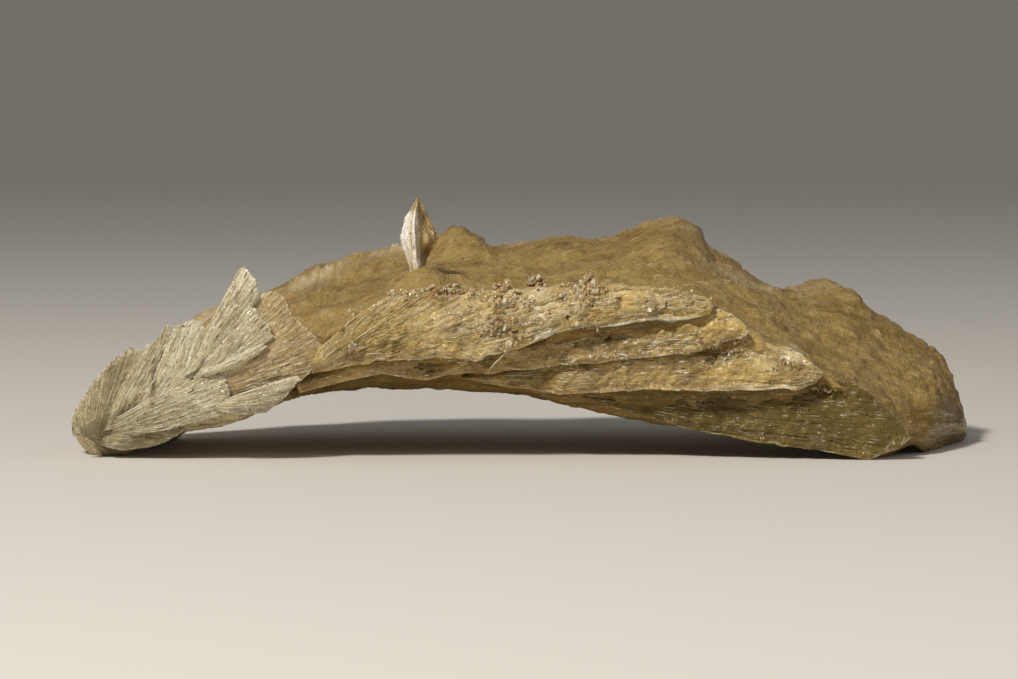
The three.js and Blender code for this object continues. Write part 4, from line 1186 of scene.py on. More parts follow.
@dataclass
class Fan:
    """The fan of blades at the left end: a spray from the toe and the brown and pale blades over it."""

    blades: list[Blade] = field(default_factory=lambda: [
        Blade(
            "toe_upper_blade", -10.8, -0.1, 2.6, 0.25, [(-27.5, 1.3), (-28.2, 2.3)],
            [(-26.3, 1.4), (-24.7, 4.3), (-23.4, 6.7)],
            [(-23.4, 6.7), (-24.5, 7), (-25.3, 6.4), (-26, 5.7), (-26.8, 4.8), (-27.8, 3.3), (-28.2, 2.3)],
            tone=(0.15, 0.2, 0.0), laths_across=36, ragged=0.012, sink=0.6, seed=1,
        ),
        Blade(
            "toe_second_blade", -11, -0.1, 2.6, 0.25, [(-26.3, 1.7), (-25, 4.6), (-23.5, 7.1)],
            [(-24.9, 2), (-22.9, 4.6), (-21.6, 7)],
            [(-21.6, 7), (-21.8, 8), (-22.1, 8.5), (-22.7, 7.6), (-23.5, 7.1)],
            tone=(0.45, 0.05, 0.0), laths_across=22, sink=0.7, seed=2,
        ),
        Blade(
            "toe_third_blade", -11.4, -0.6, 2.4, 0.3, [(-24.2, 2.7), (-23.1, 4.9), (-21.6, 8.4)],
            [(-23.1, 2.8), (-19.4, 4.6), (-18.7, 7)],
            [(-18.7, 7), (-19.5, 8.1), (-20.4, 8.8), (-21, 8.6), (-21.6, 8.4)],
            tone=(0.6, 0.0, 0.0), laths_across=30, relief=0.05, sink=0.5, seed=3,
        ),
        Blade(
            "tall_blade", -12.1, 0, 1.7, 0.4, [(-21.1, 5.2), (-19.9, 7.8), (-18.7, 9.9), (-17.7, 11.8)],
            [(-19.8, 5.9), (-18.1, 7.6), (-16.9, 9.3)],
            [(-16.9, 9.3), (-16.4, 10.1), (-16.6, 11.2), (-17.3, 12.1), (-17.7, 11.8)],
            tone=(0.5, 0.0, 0.15), laths_across=30, laths_along=1.2, relief=0.05, ragged=0.015, seed=4,
        ),
        Blade(
            "brown_fan_blade", -12, 0, 1.8, 0.4, [(-19.8, 5.1), (-17.7, 8), (-16.2, 10.4)],
            [(-19.7, 3.6), (-16.7, 4.3), (-13.9, 4.9)],
            [
                (-13.9, 4.9), (-13.3, 5.4), (-12.7, 6.2), (-12.5, 7.1), (-13, 7.8), (-13.8, 8.5),
                (-14.5, 9.2), (-14.8, 10.1), (-15.4, 10.5), (-16.2, 10.4),
            ],
            tone=(0.2, 0.25, 0.3), laths_across=56, relief=0.08, lumps=0.05, ragged=0.012, rim=0.25, seed=5,
        ),
        Blade(
            "grey_bundle_blade", -12.45, 0, 2, 0.25, [(-20.6, 5.3), (-18.7, 7.6), (-17.1, 9.6)],
            [(-20.2, 4.8), (-17.9, 6), (-16.2, 7.1)],
            [(-16.2, 7.1), (-15.5, 7.7), (-15.7, 8.4), (-16.2, 8.8), (-16.6, 9.5), (-17.1, 9.6)],
            tone=(0.5, 0.05, 0.1), laths_across=36, laths_along=1.6, relief=0.07, sink=0.4, seed=6,
        ),
        Blade(
            "white_streak_blade", -12.6, 0, 2, 0.25, [(-20.9, 5.2), (-18.4, 6.4), (-15.8, 7.5)],
            [(-20.7, 5.0), (-18, 5.7), (-16.2, 6.8)], [(-16.2, 6.8), (-15.8, 7.1), (-15.8, 7.5)],
            tone=(0.9, 0.0, 0.0), laths_across=14, laths_along=4.0, relief=0.12, ragged=0.1, sink=0.9, seed=7,
        ),
        Blade(
            "pale_fan_blade", -12.7, 0.3, 2.4, 0.5, [(-18.9, 3.7), (-16.2, 4.7), (-14, 5.3)],
            [(-19.4, 3.1), (-17.9, 2.9), (-16.5, 3.1)],
            [(-16.5, 3.1), (-15.9, 3), (-15.2, 3.6), (-14.7, 4), (-14.3, 4.5), (-13.8, 5.1), (-14, 5.3)],
            tone=(0.4, 0.1, 0.1), laths_across=32, relief=0.06, ragged=0.03, sink=0.5, seed=8,
        ),
        Blade(
            "toe_lower_blade", -10.6, 0.3, 2.6, 0.5, [(-26, 1.8), (-23.3, 2.3), (-21.1, 2.1)],
            [(-26.5, 0.8), (-24.9, 0.5), (-23.3, 0.7)],
            [(-23.3, 0.7), (-22.4, 1), (-21.6, 1.4), (-21, 1.9), (-21.1, 2.1)],
            tone=(0.3, 0.2, 0.0), laths_across=28, sink=1.0, seed=9,
        ),
        Blade(
            "spine_blade", -11.35, -1.0, 2.6, 0.3, [(-26.4, 2), (-23.1, 3.9), (-19.6, 5.4)],
            [(-26.1, 1.3), (-22.5, 1.8), (-18.6, 2.9)],
            [(-18.6, 2.9), (-18.1, 4.4), (-18.5, 5.3), (-19.6, 5.4)],
            tone=(0.4, 0.12, 0.0), laths_across=40, laths_along=3.0, relief=0.08, sink=1.5, seed=10,
            along=140,
        ),
    ])

    def build(self, finish: Material, brown: Material) -> None:
        """Builds every blade of the fan.

        Args:
            finish: the finish of all but one.
            brown: the finish of the brown blade.
        """
        for blade in self.blades:
            blade.build(brown if blade.name == "brown_fan_blade" else finish)


@dataclass
class Shingles:
    """The blades that lie over each other like shingles along the front, each one step further right."""

    blades: list[Blade] = field(default_factory=lambda: [
        Blade(
            "ridge_blade", -12.3, -0.3, 3, 0.5,
            [
                (-12.9, 6.8), (-11.9, 7.8), (-11.1, 8.6), (-9.6, 9.6), (-7.7, 10.4), (-6.8, 10.6), (-5, 10.2),
                (-2.8, 10.5), (2.1, 10.7), (7, 10.8), (9.4, 10.6), (10.5, 10.3), (11.2, 9.8), (11.5, 9.4),
            ],
            [
                (-13.2, 5.4), (-11.1, 5.8), (-9.2, 6.1), (-5.3, 6.4), (-3.9, 6.5), (-3.3, 6.2),
                (-2.9, 6.25), (-2.4, 6.6), (-0.9, 6.9), (0.5, 7.4),
                (2.9, 8.1), (7, 8.6), (9.9, 8.7), (11.2, 9),
            ],
            [(11.2, 9), (11.5, 9.4)],
            tone=(0.15, 0.12, 0.2), lip=0.5, laths_across=34, laths_along=6.0, relief=0.1, lumps=0.2,
            wax=0.35, ragged=0.0, rim=0.12, uneven=0.14, origin=(-14.5, 4.6), seed=11, across=144,
            along=400,
        ),
        Blade(
            "second_blade", -10.4, -2.0, 2.6, 0.5,
            [(-2.8, 6.6), (2.1, 8.1), (7, 8.9), (10.7, 9.3), (11.9, 9.4), (12.6, 9.1), (13.3, 8.6)],
            [(-5.3, 5.2), (-1.6, 5.4), (2.1, 5.8), (7, 6.3), (10.7, 6.8), (11.8, 7.2), (13.3, 7.6)],
            [(13.3, 7.6), (13.7, 8), (13.3, 8.6)],
            tone=(0.15, 0.1, 0.05), lip=0.4, laths_across=28, laths_along=5.0, relief=0.09, lumps=0.2,
            wax=0.9, ragged=0.0, rim=0.4, uneven=0.08, origin=(-9, 4.9), seed=12, across=96, along=280,
        ),
        Blade(
            "third_blade", -9.8, -2.2, 2.6, 0.5,
            [
                (-4, 4.95), (-2, 5.35), (2, 6.3), (7, 7.1), (12, 7.6), (13.8, 7.8), (15, 7.2), (15.8, 6.8),
                (16.9, 6.6), (17.7, 6),
            ],
            [(-4, 4.85), (-2, 4.5), (2.1, 4), (7, 4.3), (13.3, 4.3), (16.8, 4.4), (17.8, 4.7)],
            [(17.8, 4.7), (18.3, 5.3), (17.7, 6)],
            tone=(0.15, 0.12, 0.05), lip=0.4, sink=1.6, laths_across=36, laths_along=5.0, relief=0.09,
            lumps=0.2, wax=0.8, ragged=0.0, rim=0.3, uneven=0.08, origin=(-11, 5), seed=13, across=112,
            along=280,
        ),
        Blade(
            "front_sheet", -8.2, -3.3, 2.4, 0.3,
            [(0, 5), (7, 4.8), (13.3, 4.8), (16.9, 4.8), (18.6, 4.9), (20, 4.9)],
            [(0, 4.3), (4, 3.6), (7, 2.75), (9, 2.2), (13, 1.65), (16.6, 1.4), (18.9, 1.05)],
            [
                (18.9, 1.05), (19.8, 0.6), (20.5, 0.1), (21.2, 0), (22, 0.3), (23, 0.7), (23.7, 1.3),
                (23.5, 2), (22.3, 3.3), (21.2, 4.2), (20, 4.9),
            ],
            # its stain and its darker finish are painted shade
            tone=(0.05, 0.25, 0.05), laths_across=44, laths_along=4.0, relief=0.12, lumps=0.14, wax=0.5,
            ragged=0.0, rim=0.1, uneven=0.05, origin=(-16, 5), seed=14, across=120, along=300,
        ),
        Blade(
            "ridge_lobe", -12.75, -0.2, 1.2, 0.15, [(4.3, 10.2), (6, 10.55), (7.8, 10.5)],
            [(4.3, 9.3), (6, 8.95), (7.6, 9.05)], [(7.6, 9.05), (8.5, 9.5), (8.6, 10), (7.8, 10.5)],
            tone=(0.2, 0.05, 0.2), laths_across=12, relief=0.04, lumps=0.1, wax=1.0, ragged=0.0, rim=0.3,
            seed=16, across=56, along=56,
        ),
        Blade(
            "under_lip_blade", -10.7, -0.3, 2.4, 0.25, [(-14.3, 4.9), (-10.9, 5.9), (-7.8, 6.5), (-3, 6.9)],
            [(-14, 4.1), (-10.9, 4.9), (-8.9, 5.3), (-7.2, 5), (-6.1, 4.9), (-5, 5.2)],
            [(-5, 5.2), (-3.7, 5.9), (-3, 6.9)],
            tone=(0.15, 0.15, 0.1), laths_across=18, relief=0.05, lumps=0.12, wax=1.0, ragged=0.0,
            rim=0.3, seed=15, across=64, along=160,
        ),
    ])

    def build(self, finish: Material, low: Material) -> None:
        """Builds every shingled blade.

        Args:
            finish: the finish of all but one.
            low: the darker finish of the front sheet, a painted shade.
        """
        for blade in self.blades:
            blade.build(low if blade.name == "front_sheet" else finish)


@dataclass
class StandingCrystal:
    """The stout crystal on the crust: a narrow foot, a white face, a light brown lobe and a sharp tip.

    The dent under the lobe, darkened as a painted shadow, and the painted shadow on the lobe are each
    given by a middle (x, z) and by two half sizes. foot is the height from which the flutes start.
    """

    tip: Triple = (-6.81, -2.0, 16.15)
    rings: tuple[tuple[Triple, ...], ...] = (
        (
            (-7.3, -2.3, 9.7), (-6.85, -2.7, 9.6), (-6.65, -2.5, 9.6),
            (-6.4, -1.8, 9.7), (-6.5, -1.1, 9.8), (-7.1, -1.2, 9.8),
        ),
        (
            (-7.35, -2.3, 11.4), (-6.85, -2.9, 11.4), (-6.65, -2.5, 11.4),
            (-6.5, -1.8, 11.5), (-6.5, -1.1, 11.5), (-7.1, -1.1, 11.5),
        ),
        (
            (-7.65, -2.2, 12.4), (-6.95, -3.1, 12.4), (-6.7, -2.5, 12.3),
            (-6.1, -1.8, 12.4), (-6.2, -0.9, 12.4), (-7.2, -0.9, 12.4),
        ),
        (
            (-8, -2.1, 13.4), (-7, -3.2, 13.3), (-6.75, -2.4, 13.3),
            (-5.5, -1.7, 13.4), (-5.7, -0.6, 13.3), (-7.3, -0.8, 13.3),
        ),
        (
            (-7.7, -2.1, 14.7), (-7.05, -2.9, 14.6), (-6.85, -2.3, 14.6),
            (-6.1, -1.6, 14.7), (-6.2, -0.9, 14.6), (-7.2, -1.1, 14.6),
        ),
    )
    foot: float = 9.7
    dent: tuple[Pair, Pair] = ((-6.4, 12.45), (0.3, 0.4))
    lobe_shadow_place: tuple[Pair, Pair] = ((-5.75, 13.8), (0.3, 0.5))
    around: int = 108
    up: int = 110

    def build(self, finish: Material) -> Object:
        """Builds the crystal.

        Formula: straight lines between the rings' corners and up to the tip, moved along the normals
        by laths that run upwards and by smooth noise.

        Args:
            finish: the crystal's finish.

        Returns:
            The new object.
        """
        corners = np.array(self.rings, float)
        tip = np.array(self.tip)
        corners = np.concatenate([corners, (0.1 * (corners[-1] - tip) + tip)[None]])
        sides = corners.shape[1]
        side = np.linspace(0, sides, self.around, endpoint=False)
        i = np.floor(side).astype(int)
        part = (side - i)[None, :, None]
        rings = (1 - part) * corners[:, i] + part * corners[:, (i + 1) % sides]
        last = len(corners) - 1
        level = np.linspace(0, last, self.up)
        j = np.minimum(np.floor(level).astype(int), last - 1)
        share = (level - j)[:, None, None]
        points = (1 - share) * rings[j] + share * rings[j + 1]
        normals = grid_normals(points)
        turn = np.broadcast_to(side[None], points.shape[:2])
        height = points[..., 2] - self.foot
        flutes = laths(turn * 3.2, height / 2.4, 31) + 0.5 * laths(turn * 8, height / 1.2, 32)
        lumps = rough_noise(points[..., 0] * 1.6, points[..., 1] * 1.6, points[..., 2] * 1.2, seed=33)
        grow = step(tip[2] - points[..., 2], 0.0, 1.2)
        points = points + normals * (grow * (0.05 * (flutes - 0.7) + 0.09 * lumps))[..., None]
        dent, lobe_shadow = (bell(points, FRONT, *place) for place in (self.dent, self.lobe_shadow_place))
        points[..., 1] += 0.5 * dent * step(points[..., 1], -1.2, -1.8)
        white = (step(turn, 2.05, 1.85) + step(turn, 5.3, 5.7)) * step(points[..., 2], 15.4, 14.8)
        # painted highlight along the crystal's edges
        rim = 0.3 * np.exp(-((np.minimum(turn % 1, 1 - turn % 1) / 0.06) ** 2))
        # the stain channel is a painted shadow in the dent under the lobe and on the lobe
        tones = plain_tones(points, 0.05 + 0.95 * white, np.maximum(0.9 * dent, 0.8 * lobe_shadow), rim)
        fibres = np.stack([turn * 1.2, 0 * turn + 50, height], -1)
        return make_piece("standing_crystal", points, loft_faces(*points.shape[:2]), tones, fibres, finish)


def ball() -> tuple[Array, Array]:
    """A ball of 42 points and 80 triangles: the twenty-sided solid with each side cut in four.

    Returns:
        Points at distance 1 from the middle, and triangles that face outwards.
    """
    gold = (1 + math.sqrt(5)) / 2
    signs = np.array(list(itertools.product((-1, 1), repeat=2)))
    plane = np.column_stack([0 * signs[:, 0], signs[:, 0], gold * signs[:, 1]])
    corners = np.concatenate([np.roll(plane, k, axis=1) for k in range(3)])
    near = np.isclose(np.linalg.norm(corners[:, None] - corners[None], axis=-1), 2)
    triples = np.stack(np.nonzero(near[:, :, None] & near[:, None] & near[None]), axis=-1)
    triples = triples[(triples[:, 0] < triples[:, 1]) & (triples[:, 1] < triples[:, 2])]
    a, b, c = (corners[triples[:, k]] for k in range(3))
    inward = np.sum(a * np.cross(b, c), axis=-1) < 0
    triples[inward] = triples[inward][:, ::-1]
    pairs = np.sort(triples[:, [[0, 1], [1, 2], [2, 0]]].reshape(-1, 2), axis=1)
    pairs, which = np.unique(pairs, axis=0, return_inverse=True)
    points = np.concatenate([corners, corners[pairs].mean(axis=1)])
    a, b, c = triples.T
    ab, bc, ca = (len(corners) + which.reshape(-1, 3)).T
    quarters = ((a, ab, ca), (b, bc, ab), (c, ca, bc), (ab, bc, ca))
    faces = np.concatenate([np.column_stack(corners) for corners in quarters])
    return points / np.linalg.norm(points, axis=1, keepdims=True), faces


@dataclass(frozen=True)
class Pile:
    """A pile of sand-sized grains: its middle, its three half sizes in mm and how many they are."""

    middle: Triple
    half: Triple
    grains: int
    radius: float = 0.16
    red: float = 0.15
    white: float = 0.15


@dataclass
class GrainCrust:
    """Sand-sized grains of the red-brown and white crust on the ridge, and droplets of clear crystal.

    The droplets lie along a line given by its height at x 0, its slope and its width, over a span of x.
    cell is the side of the squares in which the front's depth is looked up.
    """

    piles: tuple[Pile, ...] = (
        Pile((-1.4, -12.1, 10.6), (0.6, 0.5, 0.55), 90, 0.15),
        Pile((0.6, -11.9, 10.8), (0.6, 0.5, 0.6), 100, 0.15),
        Pile((3.9, -11.9, 10.85), (0.5, 0.5, 0.6), 90, 0.14, 0.2, 0.4),
        Pile((2.8, -12.1, 10.7), (0.9, 0.5, 0.25), 90, 0.11, 0.35),
        Pile((-3.4, -12.1, 10.4), (1.3, 0.5, 0.2), 60, 0.12, 0.1),
        Pile((5.2, -12.1, 10.75), (1.2, 0.5, 0.15), 50, 0.11, 0.1),
        Pile((-4.9, -8.4, 10.1), (1.5, 0.8, 0.65), 200, 0.12, 0.3, 0.3),
        Pile((2.2, -12.6, 10.1), (0.8, 0.3, 0.3), 80, 0.1, 0.5),
        Pile((-7.2, -12.1, 10.35), (1.4, 0.5, 0.25), 80, 0.1, 0.0, 0.6),
        Pile((8.3, -12.2, 10.55), (1.6, 0.4, 0.15), 40, 0.1, 0.0),
        Pile((16.0, -11.4, 6.6), (0.5, 0.4, 0.25), 50, 0.08, 0.3, 0.6),
        Pile((-10.2, -11.6, 9.1), (1.0, 0.5, 0.4), 70, 0.1, 0.0, 0.5),
        Pile((18.3, -11.15, 4.4), (1.1, 0.25, 0.25), 70, 0.06, 0.5, 0.1),
        Pile((11.6, -11.7, 6.15), (0.9, 0.2, 0.25), 40, 0.05, 0.6, 0.1),
        Pile((13.0, -11.7, 6.7), (0.9, 0.2, 0.2), 40, 0.05, 0.6, 0.1),
    )
    scattered: int = 620
    droplets: int = 70
    droplet_line: Triple = (5.95, 0.1, 0.12)
    droplet_span: Pair = (2.0, 10.5)
    cell: float = 0.15
    seed: int = 1929

    def front_depth(self, fronts: list[Array]) -> tuple[Array, Array]:
        """Middles (x, z) of small square cells of the front and the foremost y in each.

        Args:
            fronts: point arrays of the surfaces that show at the front.

        Returns:
            The middles and the depths.
        """
        front = np.concatenate([points.reshape(-1, 3) for points in fronts])
        cells = np.floor(front[:, [0, 2]] / self.cell).astype(int)
        cells, which = np.unique(cells, axis=0, return_inverse=True)
        foremost = np.full(len(cells), np.inf)
        np.minimum.at(foremost, which.ravel(), front[:, 1])
        return (cells + 0.5) * self.cell, foremost

    def laid(
        self, spots: Array, depth: Array, weight: Array, count: int, chance: Chance
    ) -> Array:
        """Points on the front, drawn with a chance equal to the weight of each cell.

        Args:
            spots: middles (x, z) of the cells.
            depth: the foremost y in each cell.
            weight: each cell's share of the chance.
            count: how many points are drawn.
            chance: where the random numbers come from.

        Returns:
            Points in mm.
        """
        chosen = chance.choice(len(spots), count, p=weight / weight.sum())
        across = spots[chosen] + chance.uniform(-0.5, 0.5, (count, 2)) * self.cell
        return np.stack([across[:, 0], depth[chosen] + 0.05, across[:, 1]], axis=-1)

    def build(self, fronts: list[Array], finish: Material) -> Object:
        """Builds all grains as one joined piece.

        Formula: the piles are filled at random. The scattered grains sit on the foremost points of
        the front where there is grit, the droplets along one line under the ridge. Each grain is a
        ball whose points are moved in and out at random and which is stretched at random.

        Args:
            fronts: point arrays of the surfaces that show at the front.
            finish: the grains' finish.

        Returns:
            The new object.
        """
        chance = np.random.default_rng(self.seed)
        middles, radii, red, white = [], [], [], []
        for pile in self.piles:
            inside = chance.normal(size=(pile.grains, 3))
            inside *= (chance.random(pile.grains) ** 0.33 / np.linalg.norm(inside, axis=1))[:, None]
            middles.append(np.array(pile.middle) + inside * np.array(pile.half))
            radii.append(pile.radius * (0.4 + 1.0 * chance.random(pile.grains) ** 2.5))
            red.append(np.full(pile.grains, pile.red))
            white.append(np.full(pile.grains, pile.white))
        spots, depth = self.front_depth(fronts)
        level = np.stack([spots[:, 0], depth, spots[:, 1]], axis=-1)
        grit = tones_at(level, (0, 0, 0))[:, Tone.GRIT.value] ** 2
        grit *= np.maximum(rough_noise(spots[:, 0] * 1.3, spots[:, 1] * 1.3, seed=71), 0.05)
        x, z = spots.T
        (height, slope, width), (start, end) = self.droplet_line, self.droplet_span
        line = np.exp(-(((z - height - slope * x) / width) ** 2)) * (x > start) * (x < end)
        middles.append(self.laid(spots, depth, grit, self.scattered, chance))
        middles.append(self.laid(spots, depth, line, self.droplets, chance))
        radii.append(0.045 + 0.13 * chance.random(self.scattered) ** 3)
        radii.append(chance.uniform(0.04, 0.08, self.droplets))
        red.append(np.repeat([0.22, 0.0], [self.scattered, self.droplets]))
        # the droplets are near white, partly a painted highlight on clear crystal
        white.append(np.repeat([0.2, 0.8], [self.scattered, self.droplets]))
        middle, radius, red, white = (np.concatenate(part) for part in (middles, radii, red, white))

        unit, faces = ball()
        unit = np.sign(unit) * np.abs(unit) ** 0.7
        stretch = chance.uniform(0.5, 1.5, (len(middle), 1, 3))
        rough = chance.uniform(0.75, 1.15, (len(middle), len(unit), 1))
        spin = np.linalg.qr(chance.normal(size=(len(middle), 3, 3)))[0]
        spin *= np.sign(np.linalg.det(spin))[:, None, None]
        points = middle[:, None] + radius[:, None, None] * ((unit[None] * rough * stretch) @ spin)
        draw = chance.random(len(middle))
        pale, stain_and_shade = np.where(draw > 1 - white, 0.8, 0.15), np.where(draw < red, 0.9, 0.1)
        tones = plain_tones(points, pale[:, None], stain_and_shade[:, None])
        fibres = np.stack([points[..., 0], 0 * points[..., 0] + 90, points[..., 2]], -1)
        joined = repeat_faces(faces, len(unit), len(middle))
        return make_piece("grain_crust", points, joined, tones, fibres, finish, -0.4, crease=25)


@dataclass(frozen=True)
class Bundle:
    """Thin splinters on one blade: how many, and their ranges of length in shares and radius in mm."""

    blade: str
    count: int
    length: Pair
    radius: Pair
    across: Pair = (0.03, 0.97)
    along: Pair = (0.0, 0.96)
    pale: Pair = (0.0, 0.8)


@dataclass
class Splinters:
    """Loose splinters of crystal that lie along the fibres of the blades."""

    bundles: tuple[Bundle, ...] = (
        Bundle("white_streak_blade", 160, (0.1, 0.5), (0.03, 0.07), pale=(0.8, 1.0)),
        Bundle("grey_bundle_blade", 190, (0.1, 0.4), (0.02, 0.05), pale=(0.4, 1.0)),
        Bundle("tall_blade", 60, (0.1, 0.5), (0.02, 0.04), along=(0.0, 0.6)),
        Bundle("brown_fan_blade", 220, (0.06, 0.3), (0.015, 0.03), pale=(0.2, 1.0)),
        Bundle("pale_fan_blade", 80, (0.1, 0.4), (0.02, 0.04), pale=(0.3, 0.9)),
        Bundle("spine_blade", 260, (0.04, 0.2), (0.015, 0.035), pale=(0.2, 1.0)),
        Bundle("toe_third_blade", 90, (0.1, 0.4), (0.02, 0.04), pale=(0.5, 1.0)),
        Bundle("toe_second_blade", 50, (0.1, 0.4), (0.02, 0.04)),
        Bundle("toe_upper_blade", 120, (0.1, 0.4), (0.015, 0.03), along=(0.2, 0.9)),
        Bundle("toe_lower_blade", 50, (0.1, 0.4), (0.02, 0.04)),
        Bundle("ridge_blade", 300, (0.01, 0.06), (0.02, 0.05)),
        # this bundle and the next are near-white splinters along the ridge blade's lower edge, partly a
        # painted highlight
        Bundle("ridge_blade", 46, (0.02, 0.06), (0.03, 0.06), (0.9, 0.98), (0.5, 0.53), (0.95, 1.0)),
        Bundle("ridge_blade", 60, (0.03, 0.1), (0.02, 0.05), (0.94, 0.99), (0.68, 0.92), (0.9, 1.0)),
        Bundle("second_blade", 50, (0.02, 0.08), (0.02, 0.03)),
        # near-white splinters, partly a painted highlight
        Bundle("second_blade", 36, (0.01, 0.04), (0.03, 0.06), (0.6, 0.85), (0.6, 0.8), (0.9, 1.0)),
        Bundle("third_blade", 100, (0.02, 0.12), (0.02, 0.03)),
        Bundle("front_sheet", 80, (0.02, 0.07), (0.015, 0.03), pale=(0.0, 0.4)),
    )
    rings: int = 6
    sides: int = 4
    seed: int = 7

    def build(self, blades: dict[str, Blade], finish: Material) -> Object:
        """Builds all splinters as one joined piece.

        Formula: each follows its blade's front along the fibres, a little proud of it, as a thin tube
        whose radius is the square root of a sine from one end to the other.

        Args:
            blades: the blades by name, already built.
            finish: the splinters' finish.

        Returns:
            The new object.
        """
        chance = np.random.default_rng(self.seed)
        paths, radii, pales = [], [], []
        share = np.linspace(0, 1, self.rings)
        for bundle in self.bundles:
            front = blades[bundle.blade].front
            rows, columns = front.shape[0] - 1, front.shape[1] - 1
            start = chance.uniform(*bundle.along, bundle.count)
            reach = chance.uniform(*bundle.length, bundle.count)
            row = np.minimum(start[:, None] + reach[:, None] * share, 0.995) * rows
            column = chance.uniform(*bundle.across, bundle.count)[:, None] * columns
            drift = chance.normal(0, 0.012 * columns, (bundle.count, 1))
            column = np.clip(column + drift * share, 0, columns)
            low, side = np.floor(row).astype(int), np.round(column + 0 * row).astype(int)
            part = (row - low)[..., None]
            path = (1 - part) * front[low, side] + part * front[np.minimum(low + 1, rows), side]
            radius = chance.uniform(*bundle.radius, bundle.count)
            path[..., 1] += (0.4 * radius)[:, None] - 0.08 * share**2 * chance.random((bundle.count, 1))
            paths.append(path)
            radii.append(radius)
            pales.append(chance.uniform(*bundle.pale, bundle.count))
        path, radius, pale = np.concatenate(paths), np.concatenate(radii), np.concatenate(pales)
        points = tubes(path, radius[:, None] * np.sqrt(np.sin(np.pi * (0.02 + 0.96 * share))), self.sides)
        count = self.rings * self.sides
        flat = points.reshape(len(path), count, 3)
        tones = plain_tones(flat, pale[:, None], 0.5 * (pale[:, None] < 0.12))
        place = np.broadcast_to(np.arange(len(path))[:, None], flat.shape[:2])
        along = np.repeat(share, self.sides)[None] + 0.0 * place
        fibres = np.stack([place * 0.37, 0 * place + 120.0, along], -1)
        faces = repeat_faces(tube_faces(self.rings, self.sides), count, len(path))
        return make_piece("splinters", flat, faces, tones, fibres, finish, crease=70)


def tubes(path: Array, radius: Array, sides: int) -> Array:
    """Rings of points around each of several paths.

    Formula: at each point of a path a circle is drawn in the plane square to the path, from two
    directions square to it and to each other.

    Args:
        path: points of the paths, with the number of paths first.
        radius: the radius at each point.
        sides: points in a ring.

    Returns:
        An array of paths, rings, sides and coordinates.
    """
    ahead = np.gradient(path, axis=1)
    ahead /= np.maximum(np.linalg.norm(ahead, axis=-1, keepdims=True), 1e-9)
    first = np.cross(ahead, np.array([0.0, 1.0, 0.02]))
    first /= np.linalg.norm(first, axis=-1, keepdims=True)
    second = np.cross(ahead, first)
    turn = np.linspace(0, 2 * np.pi, sides, endpoint=False)[:, None]
    circle = np.cos(turn) * first[:, :, None] + np.sin(turn) * second[:, :, None]
    return path[:, :, None] + radius[:, :, None, None] * circle


def tube_faces(rings: int, sides: int) -> Array:
    """Triangles of one tube, with each end closed by a fan from its first point.

    Args:
        rings: number of rings.
        sides: points in a ring.

    Returns:
        Three point numbers for each triangle.
    """
    quads = grid_quads(rings, sides)
    first, second = (quads[..., corners].reshape(-1, 3) for corners in ([0, 3, 2], [0, 2, 1]))
    fan = np.arange(1, sides - 1)
    start = np.column_stack([0 * fan, fan + 1, fan])
    end = (rings - 1) * sides + np.column_stack([0 * fan, fan, fan + 1])
    return np.concatenate([first, second, start, end])


@dataclass
class StrayNeedle:
    """One hair-thin needle that hangs free under the ridge."""

    path: tuple[Triple, ...] = (
        (-1.2, -12.5, 6.75), (-1.6, -12.75, 6.35), (-1.9, -12.85, 6.1), (-2.15, -12.9, 5.8),
        (-2.3, -12.9, 5.55),
    )
    radius: float = 0.03
    taper: tuple[float, ...] = (1, 1, 0.9, 0.7, 0.3)
    sides: int = 8

    def build(self, finish: Material) -> Object:
        """Builds the needle as a thin tube that narrows to its free end.

        Args:
            finish: the needle's finish.

        Returns:
            The new object.
        """
        path = np.array(self.path)[None]
        points = tubes(path, self.radius * np.array([self.taper]), self.sides)[0]
        faces = tube_faces(len(self.taper), self.sides)
        return make_piece("stray_needle", points, faces, plain_tones(points, 0.6), 0 * points, finish)


@dataclass(frozen=True)
class Lamp:
    """One soft square light: where it stands, its side in metres, its power in watts and its colour."""

    name: str
    place: Triple
    size: float
    power: float
    colour: Triple


